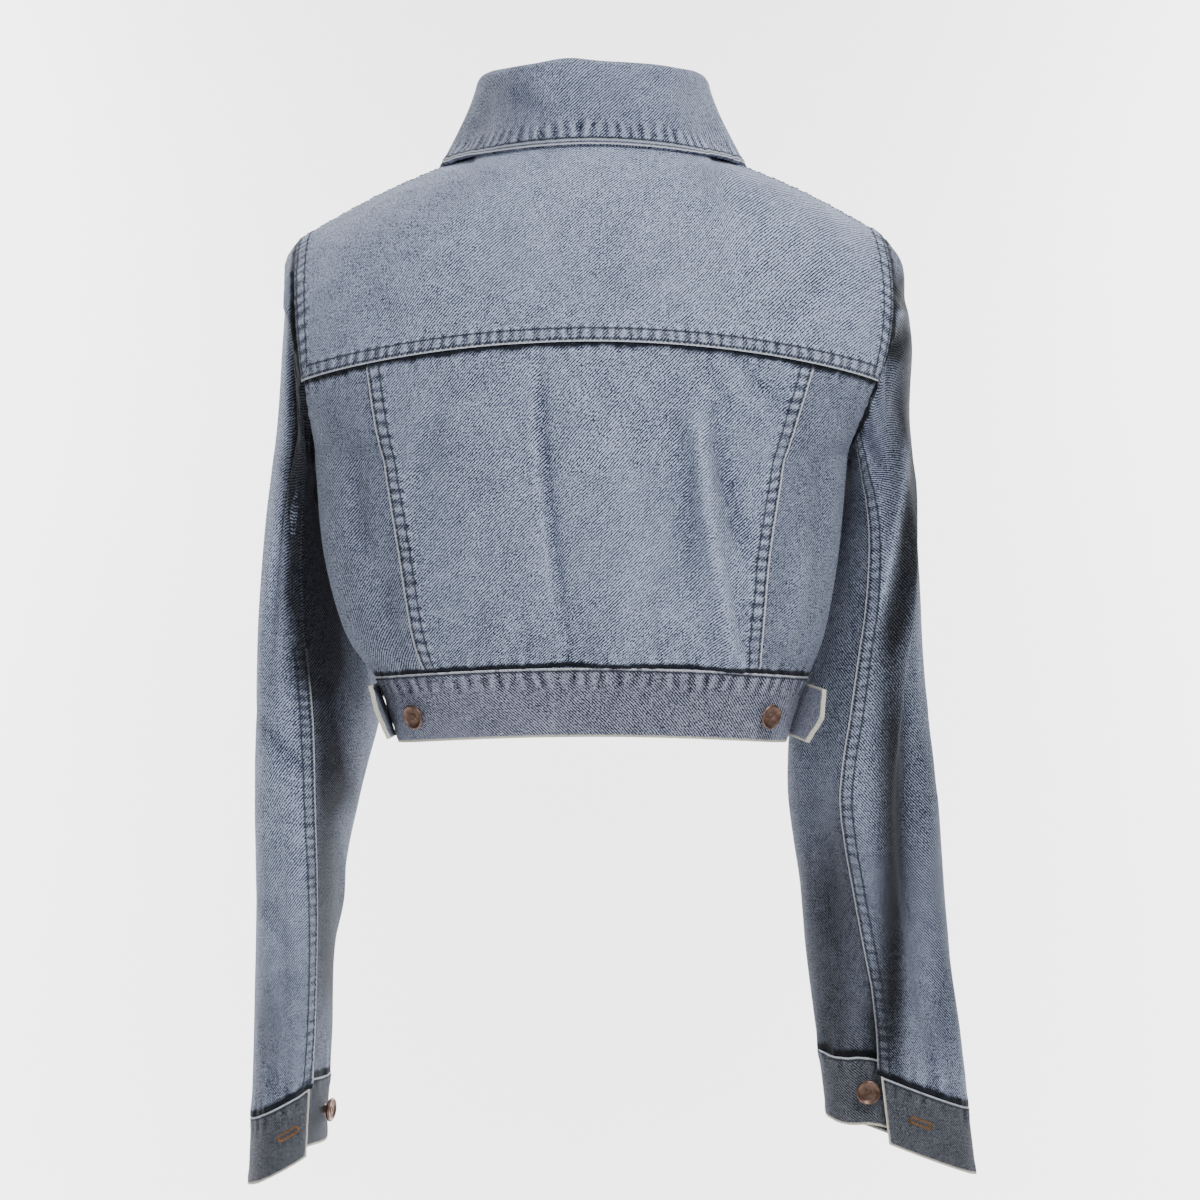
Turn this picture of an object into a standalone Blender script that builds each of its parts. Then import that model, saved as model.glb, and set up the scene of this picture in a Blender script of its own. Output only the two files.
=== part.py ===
"""A cropped denim jacket, worn and hollow. Metres, +Z up, front toward -Y, wearer's left toward +X.
The origin lies at the base of the neck, between the shoulders."""

import math

import bpy
import numpy as np
from mathutils import Matrix, Vector

# ---------------------------------------------------------------- driving sizes

BODY_WALL = 0.0018  # one ply of heavy denim with its seam allowances
BAND_WALL = 0.0026  # waistband, cuffs, collar and tabs are doubled
SEAM_GAP = 0.0003  # clearance between neighbouring pieces
CURVE_SPARE = 0.00005  # more of it on each side of a curved seam, whose flat faces cut corners
CLEAR_OF_BODY = 0.0012  # a sleeve starts this far off the body it rests against
EASE_OFF_BODY = 0.0030  # and eases this much further off below the underarm
SCYE_CLEAR = 0.0100  # the rule holds from this far above the underarm

NECK_HALF_WIDTH = 0.078
NECK_POINT = (NECK_HALF_WIDTH, -0.005, 0.010)
NECK_BACK = (0.062, 0.018)  # y, z of the neck seam at the centre back
NECK_FRONT = (-0.084, -0.062)  # y, z of the neck seam at the centre front
NECK_SHARE = 0.42  # share of the top line, from the centre, that the neck takes
NECK_EASE = {-1: (0.05, 0.42), 1: (0.15, 0.50)}  # where the rise to the neck eases and over what share
SHOULDER_TIP = {1: (0.195, -0.012, -0.045), -1: (0.192, -0.012, -0.042)}

BAND_HALF_WIDTH = 0.019  # front band, lapped over the centre line
UNDER_BAND_HALF_WIDTH = 0.017
BAND_TOP_SHY = 0.035  # share of the chest's rise that the over band stops short of the collar
WAISTBAND_LAP_RAMP = 0.030  # the lapped end rises over this length

COLLAR_FOLD_RADIUS = 0.0046
COLLAR_END_X = 0.012

CUFF_HEIGHT = 0.046
CUFF_LAP_DEPTH = 0.0052  # the underlap lies this far inside the overlap
CUFF_LAP_STEPS = 1.3  # and reaches this many ring steps past it
CUFF_LAP_RISE = {1: 0.003, -1: 0.009}  # the open underlap has slid this far up the arm
CUFF_BUTTON_STEP = {1: 2.4, -1: 0.9}  # ring steps from the slit to the button
CUFF_BUTTON_CLEAR = 0.0003  # more clearance under a shank that stands on a curve
SLIT_LENGTH = 0.070  # the back sleeve seam is open this far above the cuff

TAB_LENGTH = 0.050
TAB_NOSE = 0.013
TAB_PLACE = 0.92  # share along the back of the waistband where the tab is sewn on
TAB_SPREAD = {1: 0.03, -1: 0.24}  # how far each tab leans off the band, per metre run

BUTTON_RADIUS = 0.0082
BUTTON_RIM = 0.0012
BUTTON_HEAD = 0.0026
SHANK_RADIUS = 0.0030
SHANK_HEIGHT = 0.0034
BUTTON_SIDES = 16
WAIST_BUTTON_X = 0.1125
FRONT_BUTTONS = 5
FRONT_BUTTON_TOP = -0.085
FRONT_BUTTON_LOW = -0.305

# Steps of the grids that the walls are made from.
LEVEL_STEPS = 2
TOP_STEPS = 6
SIDE_COLUMNS = 5
CENTRE_COLUMNS = 10
FRONT_COLUMNS = 9
RING = 24  # sleeve steps around: 0 at the shoulder, 6 at the back, 12 at the underarm, 18 at the front
BACK_SEAM = 8
FRONT_SEAM = 16


class Table:
    """A short table with named columns, read smoothly between its rows. Where a corner is given, the
    columns named in bends may turn sharply at that row."""

    def __init__(self, columns, rows, corner=None, bends=""):
        self.names = columns.split()
        self.values = np.array([row[1:] for row in rows], float)
        self.last = len(rows) - 1
        self.corner = corner
        self.bends = bends.split()

    def at(self, name, place):
        """The column's value at a place counted in rows, on a Catmull-Rom curve."""
        column = self.values[:, self.names.index(name)]
        place = min(max(place, 0.0), self.last)
        row = min(int(place), self.last - 1)
        t = place - row
        turns = self.corner if name in self.bends else None
        b, c = column[row], column[row + 1]
        a = 2 * b - c if row in (0, turns) else column[row - 1]
        d = 2 * c - b if row + 1 in (self.last, turns) else column[row + 2]
        square = 2 * a - 5 * b + 4 * c - d
        cube = 3 * b - a - 3 * c + d
        return 0.5 * (2 * b + (c - a) * t + square * t**2 + cube * t**3)


UNDERARM_LEVEL = 3  # row of the two tables below where the side seam ends and the armhole starts
EDGE_COLUMNS = "z_edge y_edge x_left x_right turn square"

# Sections of the back, from the waist seam up to the yoke seam. Its edge is the side seam as far as
# the underarm, and the armhole above it. turn is the angle that the section has turned at its edge,
# seam_x is where the seam between centre and side lies.
BACK = Table(
    "z_mid z_edge y_mid y_edge x_left x_right seam_x turn square",
    [
        ("waist", -0.3290, -0.3360, 0.096, 0.004, 0.1415, 0.1400, 0.106, 98, 2.25),
        ("blouse", -0.3030, -0.3080, 0.106, 0.004, 0.1600, 0.1500, 0.111, 100, 2.25),
        ("rib", -0.2550, -0.2560, 0.110, 0.004, 0.1730, 0.1580, 0.117, 102, 2.25),
        ("under", -0.2050, -0.1920, 0.112, 0.000, 0.1790, 0.1640, 0.126, 102, 2.20),
        ("scye_low", -0.1800, -0.1820, 0.112, 0.028, 0.1820, 0.1690, 0.131, 94, 2.15),
        ("scye_mid", -0.1530, -0.1660, 0.111, 0.044, 0.1850, 0.1760, 0.136, 86, 2.10),
        ("yoke", -0.1220, -0.1430, 0.108, 0.052, 0.1880, 0.1850, 0.142, 80, 2.05),
    ],
    corner=UNDERARM_LEVEL,
    bends=EDGE_COLUMNS,
)

# Sections of the fronts at the same levels, up to the front of the armhole.
FRONT = Table(
    "z_mid z_edge y_mid y_edge x_left x_right turn square",
    [
        ("waist", -0.3360, -0.3360, -0.104, 0.004, 0.1415, 0.1400, 82, 2.20),
        ("blouse", -0.3100, -0.3080, -0.113, 0.004, 0.1600, 0.1500, 80, 2.20),
        ("rib", -0.2600, -0.2560, -0.121, 0.004, 0.1730, 0.1580, 78, 2.15),
        ("under", -0.2120, -0.1920, -0.127, 0.000, 0.1790, 0.1640, 78, 2.10),
        ("scye_low", -0.1880, -0.1820, -0.127, -0.032, 0.1760, 0.1640, 78, 2.10),
        ("scye_mid", -0.1640, -0.1660, -0.125, -0.050, 0.1730, 0.1650, 76, 2.05),
        ("chest", -0.1370, -0.1430, -0.120, -0.060, 0.1740, 0.1710, 72, 2.00),
    ],
    corner=UNDERARM_LEVEL,
    bends=EDGE_COLUMNS,
)
TOP_LEVEL = BACK.last

# The waistband below the waist seam.
WAISTBAND = Table(
    "z_back z_edge z_front y_back y_edge y_front x_left x_right",
    [
        ("seam", -0.3290, -0.3360, -0.3360, 0.096, 0.004, -0.104, 0.1415, 0.1400),
        ("hem", -0.3730, -0.3790, -0.3800, 0.090, 0.004, -0.097, 0.1265, 0.1260),
    ],
)

# Sleeve sections, from the crown down to the wrist, side by side for the two sleeves.
# x_out and x_in are how far the section reaches from the centre line, lean turns it about its own
# middle so that its rear edge stands outward, twist slides the seams around it.
SLEEVE_COLUMNS = "x_out z_out x_in z_in y_mid half_depth lean twist"
SLEEVES = {
    1: Table(
        SLEEVE_COLUMNS,
        [
            ("crown", 0.2030, -0.072, 0.184, -0.198, -0.010, 0.064, 0, 0),
            ("cap", 0.2060, -0.116, 0.182, -0.207, -0.018, 0.069, 3, 0),
            ("biceps", 0.2095, -0.172, 0.174, -0.222, -0.030, 0.073, 8, 0),
            ("upper", 0.2160, -0.228, 0.162, -0.252, -0.040, 0.073, 14, 0),
            ("above_elbow", 0.2230, -0.300, 0.150, -0.305, -0.046, 0.067, 20, 0),
            ("elbow", 0.2267, -0.366, 0.147, -0.366, -0.048, 0.063, 20, 2),
            ("below_elbow", 0.2280, -0.425, 0.162, -0.420, -0.047, 0.063, 10, 6),
            ("forearm", 0.2280, -0.490, 0.171, -0.480, -0.048, 0.061, 4, 10),
            ("lower", 0.2300, -0.552, 0.177, -0.530, -0.050, 0.058, 0, 12),
            ("above_wrist", 0.2315, -0.602, 0.178, -0.576, -0.052, 0.053, 0, 10),
            ("wrist", 0.2330, -0.637, 0.180, -0.608, -0.054, 0.048, 0, 8),
        ],
    ),
    -1: Table(
        SLEEVE_COLUMNS,
        [
            ("crown", 0.2080, -0.078, 0.168, -0.198, -0.010, 0.064, 0, 0),
            ("cap", 0.2130, -0.118, 0.166, -0.207, -0.016, 0.068, 3, -4),
            ("biceps", 0.2110, -0.172, 0.162, -0.224, -0.026, 0.070, 8, -10),
            ("upper", 0.2200, -0.232, 0.152, -0.252, -0.034, 0.068, 14, -14),
            ("above_elbow", 0.2245, -0.300, 0.142, -0.306, -0.038, 0.061, 18, -15),
            ("elbow", 0.2290, -0.364, 0.134, -0.364, -0.040, 0.053, 14, -16),
            ("below_elbow", 0.2345, -0.425, 0.132, -0.418, -0.040, 0.047, 6, -14),
            ("forearm", 0.2390, -0.492, 0.140, -0.475, -0.041, 0.043, 0, -18),
            ("lower", 0.2450, -0.546, 0.144, -0.520, -0.042, 0.037, 0, -20),
            ("above_wrist", 0.2515, -0.594, 0.149, -0.560, -0.043, 0.030, 0, -20),
            ("wrist", 0.2550, -0.630, 0.153, -0.590, -0.044, 0.025, 0, -18),
        ],
    ),
}
SLEEVE_STEPS = 2  # grid rows between two sections
ELBOW_ROW = 12  # each sleeve piece is two solids that meet at this grid row, so that its hollow stays open
LEAST_HALF_WIDTH = 0.015  # a sleeve is never flatter than this
CROWN_ROUND = 0.0045  # the sleeve head swells this far between the armhole and the crown

# Largest folds of the sleeves: section where each starts and ends, ring step at those two places,
# half width in ring steps, and depth, inward if negative.
FOLD_COLUMNS = "start end step_start step_end reach depth"
SLEEVE_FOLDS = {
    1: Table(
        FOLD_COLUMNS,
        [
            ("rear_valley", 0.4, 4.4, 4.6, 5.4, 1.5, -0.0090),
            ("rear_ridge", 0.6, 4.6, 3.0, 3.4, 1.4, 0.0020),
            ("elbow_ridge", 4.4, 6.4, 8.5, 12.5, 1.8, 0.0040),
            ("forearm_valley", 5.6, 8.8, 5.0, 4.2, 1.5, -0.0060),
            ("front_valley", 3.0, 7.0, 18.0, 20.5, 1.9, -0.0070),
        ],
    ),
    -1: Table(
        FOLD_COLUMNS,
        [
            ("cap_hollow", 0.2, 1.6, 4.2, 5.4, 1.6, -0.0100),
            ("rear_valley", 2.9, 9.2, 3.9, 4.9, 1.3, -0.0170),
            ("flap_ridge", 1.8, 4.4, 4.9, 6.6, 1.2, 0.0050),
            ("inner_valley", 5.0, 8.0, 11.0, 9.6, 1.5, -0.0070),
            ("front_valley", 3.4, 7.6, 19.5, 17.5, 1.9, -0.0070),
        ],
    ),
}

# Largest folds of the back: x and z at each end, half width, and depth, inward if negative.
BACK_FOLDS = Table(
    "x_low z_low x_high z_high reach depth",
    [
        ("centre_crease", 0.017, -0.325, 0.037, -0.150, 0.011, -0.0036),
        ("centre_swell", -0.010, -0.320, 0.004, -0.160, 0.022, 0.0022),
        ("right_ridge", -0.088, -0.322, -0.068, -0.175, 0.013, 0.0032),
        ("right_valley", -0.060, -0.318, -0.048, -0.175, 0.014, -0.0026),
        ("under_yoke", -0.072, -0.175, -0.125, -0.140, 0.010, -0.0022),
        ("left_side", 0.130, -0.300, 0.155, -0.190, 0.012, -0.0030),
    ],
)

# The collar, from the centre back round to its front point: the top of its fold and its free edge. The
# first row mirrors the blade, so that the collar runs level across the centre back.
COLLAR = Table(
    "fold_x fold_y fold_z edge_x edge_y edge_z",
    [
        ("blade_mirrored", -0.051, 0.0480, 0.0560, -0.064, 0.0590, 0.0040),
        ("back", 0.000, 0.0680, 0.0560, 0.000, 0.0795, 0.0050),
        ("blade", 0.051, 0.0480, 0.0560, 0.064, 0.0590, 0.0040),
        ("side", 0.0735, 0.0000, 0.0535, 0.1000, 0.0040, 0.0065),
        ("throat", 0.060, -0.0540, 0.0180, 0.101, -0.0660, -0.0210),
        ("point", 0.022, -0.0930, -0.0330, 0.052, -0.1125, -0.0920),
    ],
)
COLLAR_BACK_COLUMNS = 6
COLLAR_FRONT_COLUMNS = 7

# Colour, roughness and metallic value of each material.
MATERIALS = {
    "denim": ((0.30, 0.35, 0.44), 0.92, 0.0),
    "denim_dark": ((0.20, 0.23, 0.30), 0.92, 0.0),
    "copper": ((0.33, 0.17, 0.11), 0.42, 1.0),
}


# ---------------------------------------------------------------- small helpers


def smooth(t):
    """0 to 1, level at both ends."""
    t = min(max(t, 0.0), 1.0)
    return t * t * (3 - 2 * t)


def unit(vector):
    return vector / max(np.linalg.norm(vector), 1e-12)


def power(value, exponent):
    """A signed power, for rounded sections."""
    return math.copysign(abs(value) ** exponent, value)


def material(name):
    found = bpy.data.materials.get(name)
    if found:
        return found
    colour, roughness, metallic = MATERIALS[name]
    made = bpy.data.materials.new(name)
    made.use_nodes = True
    shader = made.node_tree.nodes["Principled BSDF"]
    shader.inputs["Base Color"].default_value = (*colour, 1)
    shader.inputs["Roughness"].default_value = roughness
    shader.inputs["Metallic"].default_value = metallic
    made.diffuse_color = (*colour, 1)
    return made


def add_object(name, mesh, finish, home):
    mesh.materials.append(material(finish))
    made = bpy.data.objects.new(name, mesh)
    home.objects.link(made)
    return made


def cloth(name, outside, inside, finish, home):
    """A closed wall between two grids of points, each indexed [row, column]."""
    rows, columns = outside.shape[:2]
    count = rows * columns
    points = np.concatenate([outside.reshape(-1, 3), inside.reshape(-1, 3)])
    faces = []
    for row in range(rows - 1):
        for column in range(columns - 1):
            corner = row * columns + column
            ring = (corner, corner + 1, corner + columns + 1, corner + columns)
            faces.append(ring)
            faces.append(tuple(index + count for index in reversed(ring)))
    rim = [(0, column) for column in range(columns - 1)]
    rim += [(row, columns - 1) for row in range(rows - 1)]
    rim += [(rows - 1, column) for column in range(columns - 1, 0, -1)]
    rim += [(row, 0) for row in range(rows - 1, 0, -1)]
    loop = [row * columns + column for row, column in rim]
    for here, after in zip(loop, loop[1:] + loop[:1]):
        faces.append((here, here + count, after + count, after))
    mesh = bpy.data.meshes.new(name)
    mesh.from_pydata(points.tolist(), [], faces)
    mesh.update()
    volume = sum(
        np.dot(points[face[0]], np.cross(points[face[i]], points[face[i + 1]]))
        for face in faces
        for i in range(1, len(face) - 1)
    )
    if volume < 0:
        mesh.flip_normals()
    mesh.shade_smooth()
    mesh.set_sharp_from_angle(angle=math.radians(50))
    add_object(name, mesh, finish, home)


ALL_SIDES = ("first_row", "last_row", "first_column", "last_column")


def pull_in(grid, sides, distance):
    """Draws the named edges of a grid back along its own lines, which opens the seam."""
    moved = grid.copy()
    for side in sides:
        if side == "first_row":
            moved[0] += distance * directions(grid[1] - grid[0])
        elif side == "last_row":
            moved[-1] += distance * directions(grid[-2] - grid[-1])
        elif side == "first_column":
            moved[:, 0] += distance * directions(grid[:, 1] - grid[:, 0])
        else:
            moved[:, -1] += distance * directions(grid[:, -2] - grid[:, -1])
    return moved


def directions(vectors):
    return vectors / np.maximum(np.linalg.norm(vectors, axis=-1, keepdims=True), 1e-12)


def steps(start, end, count):
    return [start + (end - start) * index / count for index in range(count + 1)]


# ---------------------------------------------------------------- the body's surface


def section(table, share, level):
    """A point on a level section: share runs from 0 at the centre to 1 or -1 at the edge."""
    side = "x_left" if share >= 0 else "x_right"
    turn = math.radians(table.at("turn", level))
    exponent = 2 / table.at("square", level)
    angle = abs(share) * turn
    edge_cos = power(math.cos(turn), exponent)
    across = power(math.sin(angle), exponent) / power(math.sin(turn), exponent)
    along = (power(math.cos(angle), exponent) - edge_cos) / (1 - edge_cos)
    y_edge = table.at("y_edge", level)
    z_mid = table.at("z_mid", level)
    x = math.copysign(table.at(side, level) * across, share)
    y = y_edge + (table.at("y_mid", level) - y_edge) * along
    z = z_mid + (table.at("z_edge", level) - z_mid) * across**2
    return np.array([x, y, z])


def top_line(share, neck_y, neck_z):
    """The neck seam, then the shoulder seam, from the centre out to the shoulder tip."""
    side = 1 if share >= 0 else -1
    share = abs(share)
    neck_point = np.array(NECK_POINT)
    if share <= NECK_SHARE:
        angle = share / NECK_SHARE * math.pi / 2
        point = np.array(
            [
                neck_point[0] * math.sin(angle),
                neck_point[1] + (neck_y - neck_point[1]) * math.cos(angle),
                neck_point[2] + (neck_z - neck_point[2]) * math.cos(angle) ** 1.5,
            ]
        )
    else:
        along = (share - NECK_SHARE) / (1 - NECK_SHARE)
        point = neck_point + (np.array(SHOULDER_TIP[side]) - neck_point) * along
        point[2] += 0.004 * math.sin(math.pi * along)
    point[0] *= side
    return point


def upper(table, share, rise, neck, forward):
    """The cloth above the last section, rounded up and over to the top line. rise runs from 0 to 1."""
    foot = section(table, share, TOP_LEVEL)
    end = top_line(share, *neck)
    below = section(table, share, TOP_LEVEL - 0.05)
    leave = unit(foot - below)
    start, span = NECK_EASE[forward]
    neck_pull = 1 - smooth((abs(share) - start) / span)
    arrive = unit(np.array([0, forward * (1 - 0.30 * neck_pull), 0.12 + 0.60 * neck_pull]))
    reach = np.linalg.norm(end - foot)
    first = foot + leave * reach * 0.38
    second = end - arrive * reach * (0.50 - 0.08 * neck_pull)
    keep = 1 - rise
    return keep**3 * foot + 3 * keep**2 * rise * first + 3 * keep * rise**2 * second + rise**3 * end


def seam_share(level):
    """The share at which the seam between centre back and side back lies."""
    level = min(level, TOP_LEVEL)
    wide = 0.5 * (BACK.at("x_left", level) + BACK.at("x_right", level))
    turn = math.radians(BACK.at("turn", level))
    exponent = 2 / BACK.at("square", level)
    across = BACK.at("seam_x", level) / wide * power(math.sin(turn), exponent)
    return math.asin(min(across, 1) ** (1 / exponent)) / turn


def back_fold(point):
    """How far the back's folds move the cloth out at this point."""
    total = 0.0
    for row in range(BACK_FOLDS.last + 1):
        x_low, z_low, x_high, z_high, reach, depth = BACK_FOLDS.values[row]
        along = (point[2] - z_low) / (z_high - z_low)
        if not -0.25 < along < 1.25:
            continue
        fade = smooth(min((along + 0.25) / 0.35, (1.25 - along) / 0.35))
        away = (point[0] - (x_low + (x_high - x_low) * along)) / reach
        total += depth * fade * math.exp(-(away**2))
    return total


def back_plain(share, level):
    if level <= TOP_LEVEL:
        return section(BACK, share, level)
    return upper(BACK, share, level - TOP_LEVEL, NECK_BACK, -1)


def front_plain(share, level):
    if level <= TOP_LEVEL:
        return section(FRONT, share, level)
    return upper(FRONT, share, level - TOP_LEVEL, NECK_FRONT, 1)


def normal_of(surface, share, level, outward_y):
    """The unit normal, away from the body's inside."""
    step = 0.004
    low = max(level - step, 0)
    high = min(level + step, TOP_LEVEL + 1)
    left = min(share + step, 1)
    right = max(share - step, -1)
    across = surface(left, level) - surface(right, level)
    up = surface(share, high) - surface(share, low)
    normal = unit(np.cross(across, up))
    point = surface(share, level)
    outward = np.array([point[0], outward_y * 0.06 + point[1], 0.04])
    return normal if np.dot(normal, outward) > 0 else -normal


def on_shared_seam(share, level):
    """Whether this is on the side seam or the shoulder seam, where back and front meet."""
    on_side = abs(share) > 0.999 and level <= UNDERARM_LEVEL
    on_shoulder = abs(share) >= NECK_SHARE - 0.001 and level > TOP_LEVEL + 0.999
    return on_side or on_shoulder


def seam_normal(share, level, behind):
    """The normal of one surface, or the mean of both where they are sewn together."""
    own = (back_plain, 1) if behind else (front_plain, -1)
    if not on_shared_seam(share, level):
        return normal_of(own[0], share, level, own[1])
    return unit(normal_of(back_plain, share, level, 1) + normal_of(front_plain, share, level, -1))


def back_point(share, level):
    """(point, normal) of the back, with its folds, which die out at the edges."""
    point = back_plain(share, level)
    normal = seam_normal(share, level, True)
    fade = smooth((1 - abs(share)) / 0.15) * smooth((TOP_LEVEL + 0.4 - level) / 0.6)
    return point + normal * back_fold(point) * fade, normal


def front_point(share, level):
    return front_plain(share, level), seam_normal(share, level, False)


def grid_of(surface, shares_at, levels, lift):
    """Outer and inner grids of a piece whose columns lie at shares_at(level)."""
    outside, inside = [], []
    for level in levels:
        found = [surface(share, level) for share in shares_at(level)]
        outside.append([point + normal * lift for point, normal in found])
        inside.append([point + normal * (lift - BODY_WALL) for point, normal in found])
    return np.array(outside), np.array(inside)


def body_levels():
    return steps(0, TOP_LEVEL, TOP_LEVEL * LEVEL_STEPS)


def top_levels():
    return steps(TOP_LEVEL, TOP_LEVEL + 1, TOP_STEPS)


def panel(name, surface, shares_at, levels, home, lift=0.0):
    grids = grid_of(surface, shares_at, levels, lift)
    outside, inside = [pull_in(grid, ALL_SIDES, SEAM_GAP / 2 + CURVE_SPARE) for grid in grids]
    cloth(name, outside, inside, "denim", home)


def centre_shares(level):
    seam = seam_share(level)
    return steps(-seam, seam, CENTRE_COLUMNS)


def side_shares(side):
    def shares(level):
        seam = seam_share(level)
        found = steps(seam, 1, SIDE_COLUMNS)
        return found if side > 0 else [-share for share in reversed(found)]

    return shares


def yoke_shares(level):
    inner = centre_shares(level)
    outer = side_shares(1)(level)
    return [-share for share in reversed(outer)][:-1] + inner + outer[1:]


def build_back(home):
    panel("back_centre", back_point, centre_shares, body_levels(), home)
    for side, name in ((1, "back_side_left"), (-1, "back_side_right")):
        panel(name, back_point, side_shares(side), body_levels(), home)
    panel("back_yoke", back_point, yoke_shares, top_levels(), home)


# ---------------------------------------------------------------- fronts and their bands


def share_at_x(level, x):
    """The share at which the front lies x away from the centre line."""
    side = 1 if x >= 0 else -1
    low, high = 0.0, 1.0
    for _ in range(28):
        middle = (low + high) / 2
        if abs(front_plain(side * middle, level)[0]) < abs(x):
            low = middle
        else:
            high = middle
    return side * (low + high) / 2


def front_shares(side, edge_x):
    def shares(level):
        found = steps(abs(share_at_x(level, side * edge_x)), 1, FRONT_COLUMNS)
        return found if side > 0 else [-share for share in reversed(found)]

    return shares


def band_shares(half_width):
    def shares(level):
        return [share_at_x(level, x) for x in steps(-half_width, half_width, 2)]

    return shares


def build_fronts(home):
    levels = body_levels()[:-1] + top_levels()
    edge = UNDER_BAND_HALF_WIDTH + SEAM_GAP
    for side, name in ((1, "front_left"), (-1, "front_right")):
        panel(name, front_point, front_shares(side, edge), levels, home)
    under = band_shares(UNDER_BAND_HALF_WIDTH)
    over = band_shares(BAND_HALF_WIDTH)
    lift = SEAM_GAP + BODY_WALL
    panel("front_band_under", front_point, under, levels, home)
    lapped = levels[:-1] + [TOP_LEVEL + 1 - BAND_TOP_SHY]
    panel("front_band_over", front_point, over, lapped, home, lift=lift)


# ---------------------------------------------------------------- waistband and its tabs


def waistband_table(front):
    """The waistband's section as seen from the front or the back, at its two rows."""
    face = "front" if front else "back"
    rows = []
    for index, name in enumerate(("seam", "hem")):
        get = {key: WAISTBAND.at(key, index) for key in WAISTBAND.names}
        turn, square = (82, 2.20) if front else (98, 2.25)
        heights = (get["z_" + face], get["z_edge"])
        depths = (get["y_" + face], get["y_edge"])
        rows.append((name, *heights, *depths, get["x_left"], get["x_right"], turn, square))
    return Table("z_mid z_edge y_mid y_edge x_left x_right turn square", rows)


WAIST_FRONT = waistband_table(True)
WAIST_BACK = waistband_table(False)


def waistband_point(front, share, drop):
    """(point, normal) of the waistband, drop running from 0 at the seam to 1 at the hem."""
    table = WAIST_FRONT if front else WAIST_BACK
    step = 0.01
    point = section(table, share, drop)
    across = section(table, min(share + step, 1), drop) - section(table, max(share - step, -1), drop)
    down = section(table, share, 1) - section(table, share, 0)
    normal = unit(np.cross(across, down))
    outward = np.array([point[0], point[1], 0])
    return point, normal if np.dot(normal, outward) > 0 else -normal


def waistband_route():
    """The places along the waistband, from its under end at the centre front, round to its over end."""
    under = share_at_x(0, -UNDER_BAND_HALF_WIDTH)
    over = share_at_x(0, BAND_HALF_WIDTH)
    ramp = share_at_x(0, -BAND_HALF_WIDTH - WAISTBAND_LAP_RAMP)
    step_off = share_at_x(0, -BAND_HALF_WIDTH - 0.003)
    route = [(True, share, 0.0) for share in [under] + steps(0.0, 1, 12)]
    route += [(False, share, 0.0) for share in steps(1, -1, 24)[1:]]
    route += [(True, share, 0.0) for share in steps(-1, ramp, 9)[1:]]
    lapped = SEAM_GAP + BAND_WALL
    route += [(True, (ramp + step_off) / 2, lapped / 2)]
    route += [(True, share, lapped) for share in (step_off, under, 0.0, over)]
    return route


def build_waistband(home):
    outside, inside = [], []
    for drop in steps(0, 1, 2):
        found = [(waistband_point(front, share, drop), lift) for front, share, lift in waistband_route()]
        outside.append([point + normal * lift for (point, normal), lift in found])
        inside.append([point + normal * (lift - BAND_WALL) for (point, normal), lift in found])
    outside, inside = [pull_in(np.array(grid), ("first_row",), SEAM_GAP) for grid in (outside, inside)]
    cloth("waistband", outside, inside, "denim_dark", home)


def tab_grid(side, lift):
    """A pointed strap, sewn at the side of the waistband and standing free toward the back."""
    rows = []
    for drop in steps(0.10, 0.90, 4):
        base, normal = waistband_point(False, side * TAB_PLACE, drop)
        nose = TAB_LENGTH - TAB_NOSE * abs(drop - 0.5) / 0.40
        row = []
        for along in steps(0, 1, 5):
            run = nose * along
            out = normal * (lift + TAB_SPREAD[side] * run)
            row.append(base + out + np.array([0, run, 0]))
        rows.append(row)
    return np.array(rows)


def build_tabs(home):
    for side, name in ((1, "waist_tab_left"), (-1, "waist_tab_right")):
        near = tab_grid(side, SEAM_GAP)
        far = tab_grid(side, SEAM_GAP + BAND_WALL)
        cloth(name, far, near, "denim_dark", home)


# ---------------------------------------------------------------- collar


def neck_seam(around):
    """The neck seam, from 0 at the centre back to 1 at the collar's front end."""
    if around <= 0.5:
        return top_line(around / 0.5 * NECK_SHARE, *NECK_BACK)
    front_end = math.asin(COLLAR_END_X / NECK_HALF_WIDTH) / (math.pi / 2) * NECK_SHARE
    share = NECK_SHARE + (front_end - NECK_SHARE) * (around - 0.5) / 0.5
    return top_line(share, *NECK_FRONT)


def collar_profile(around, wall):
    """Points from the neck seam up the stand, over the fold and down to the free edge."""
    place = 1 + around * (COLLAR.last - 1)
    base = neck_seam(around)
    fold = np.array([COLLAR.at(key, place) for key in ("fold_x", "fold_y", "fold_z")])
    edge = np.array([COLLAR.at(key, place) for key in ("edge_x", "edge_y", "edge_z")])
    out = unit(np.array([edge[0] - base[0] * 0.6, edge[1] - base[1] * 0.6, 0]))
    up = np.array([0.0, 0.0, 1.0])
    centre = fold - up * COLLAR_FOLD_RADIUS
    radius = COLLAR_FOLD_RADIUS - wall
    rise = up * (SEAM_GAP + 0.0002)
    stand_foot = base + rise + out * wall
    stand_top = centre - out * radius
    points = [stand_foot, 0.5 * (stand_foot + stand_top)]
    for angle in (180, 135, 90, 45, 0):
        turned = math.radians(angle)
        points.append(centre + radius * (out * math.cos(turned) + up * math.sin(turned)))
    fall = unit(edge - points[-1])
    face = unit(np.cross(np.cross(fall, out), fall))
    shift = -face * wall
    for along in (0.33, 0.66, 1.0):
        swell = 0.0025 * math.sin(math.pi * along)
        straight = centre + out * COLLAR_FOLD_RADIUS + (edge - centre - out * COLLAR_FOLD_RADIUS) * along
        points.append(straight + face * swell + shift)
    return points


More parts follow.
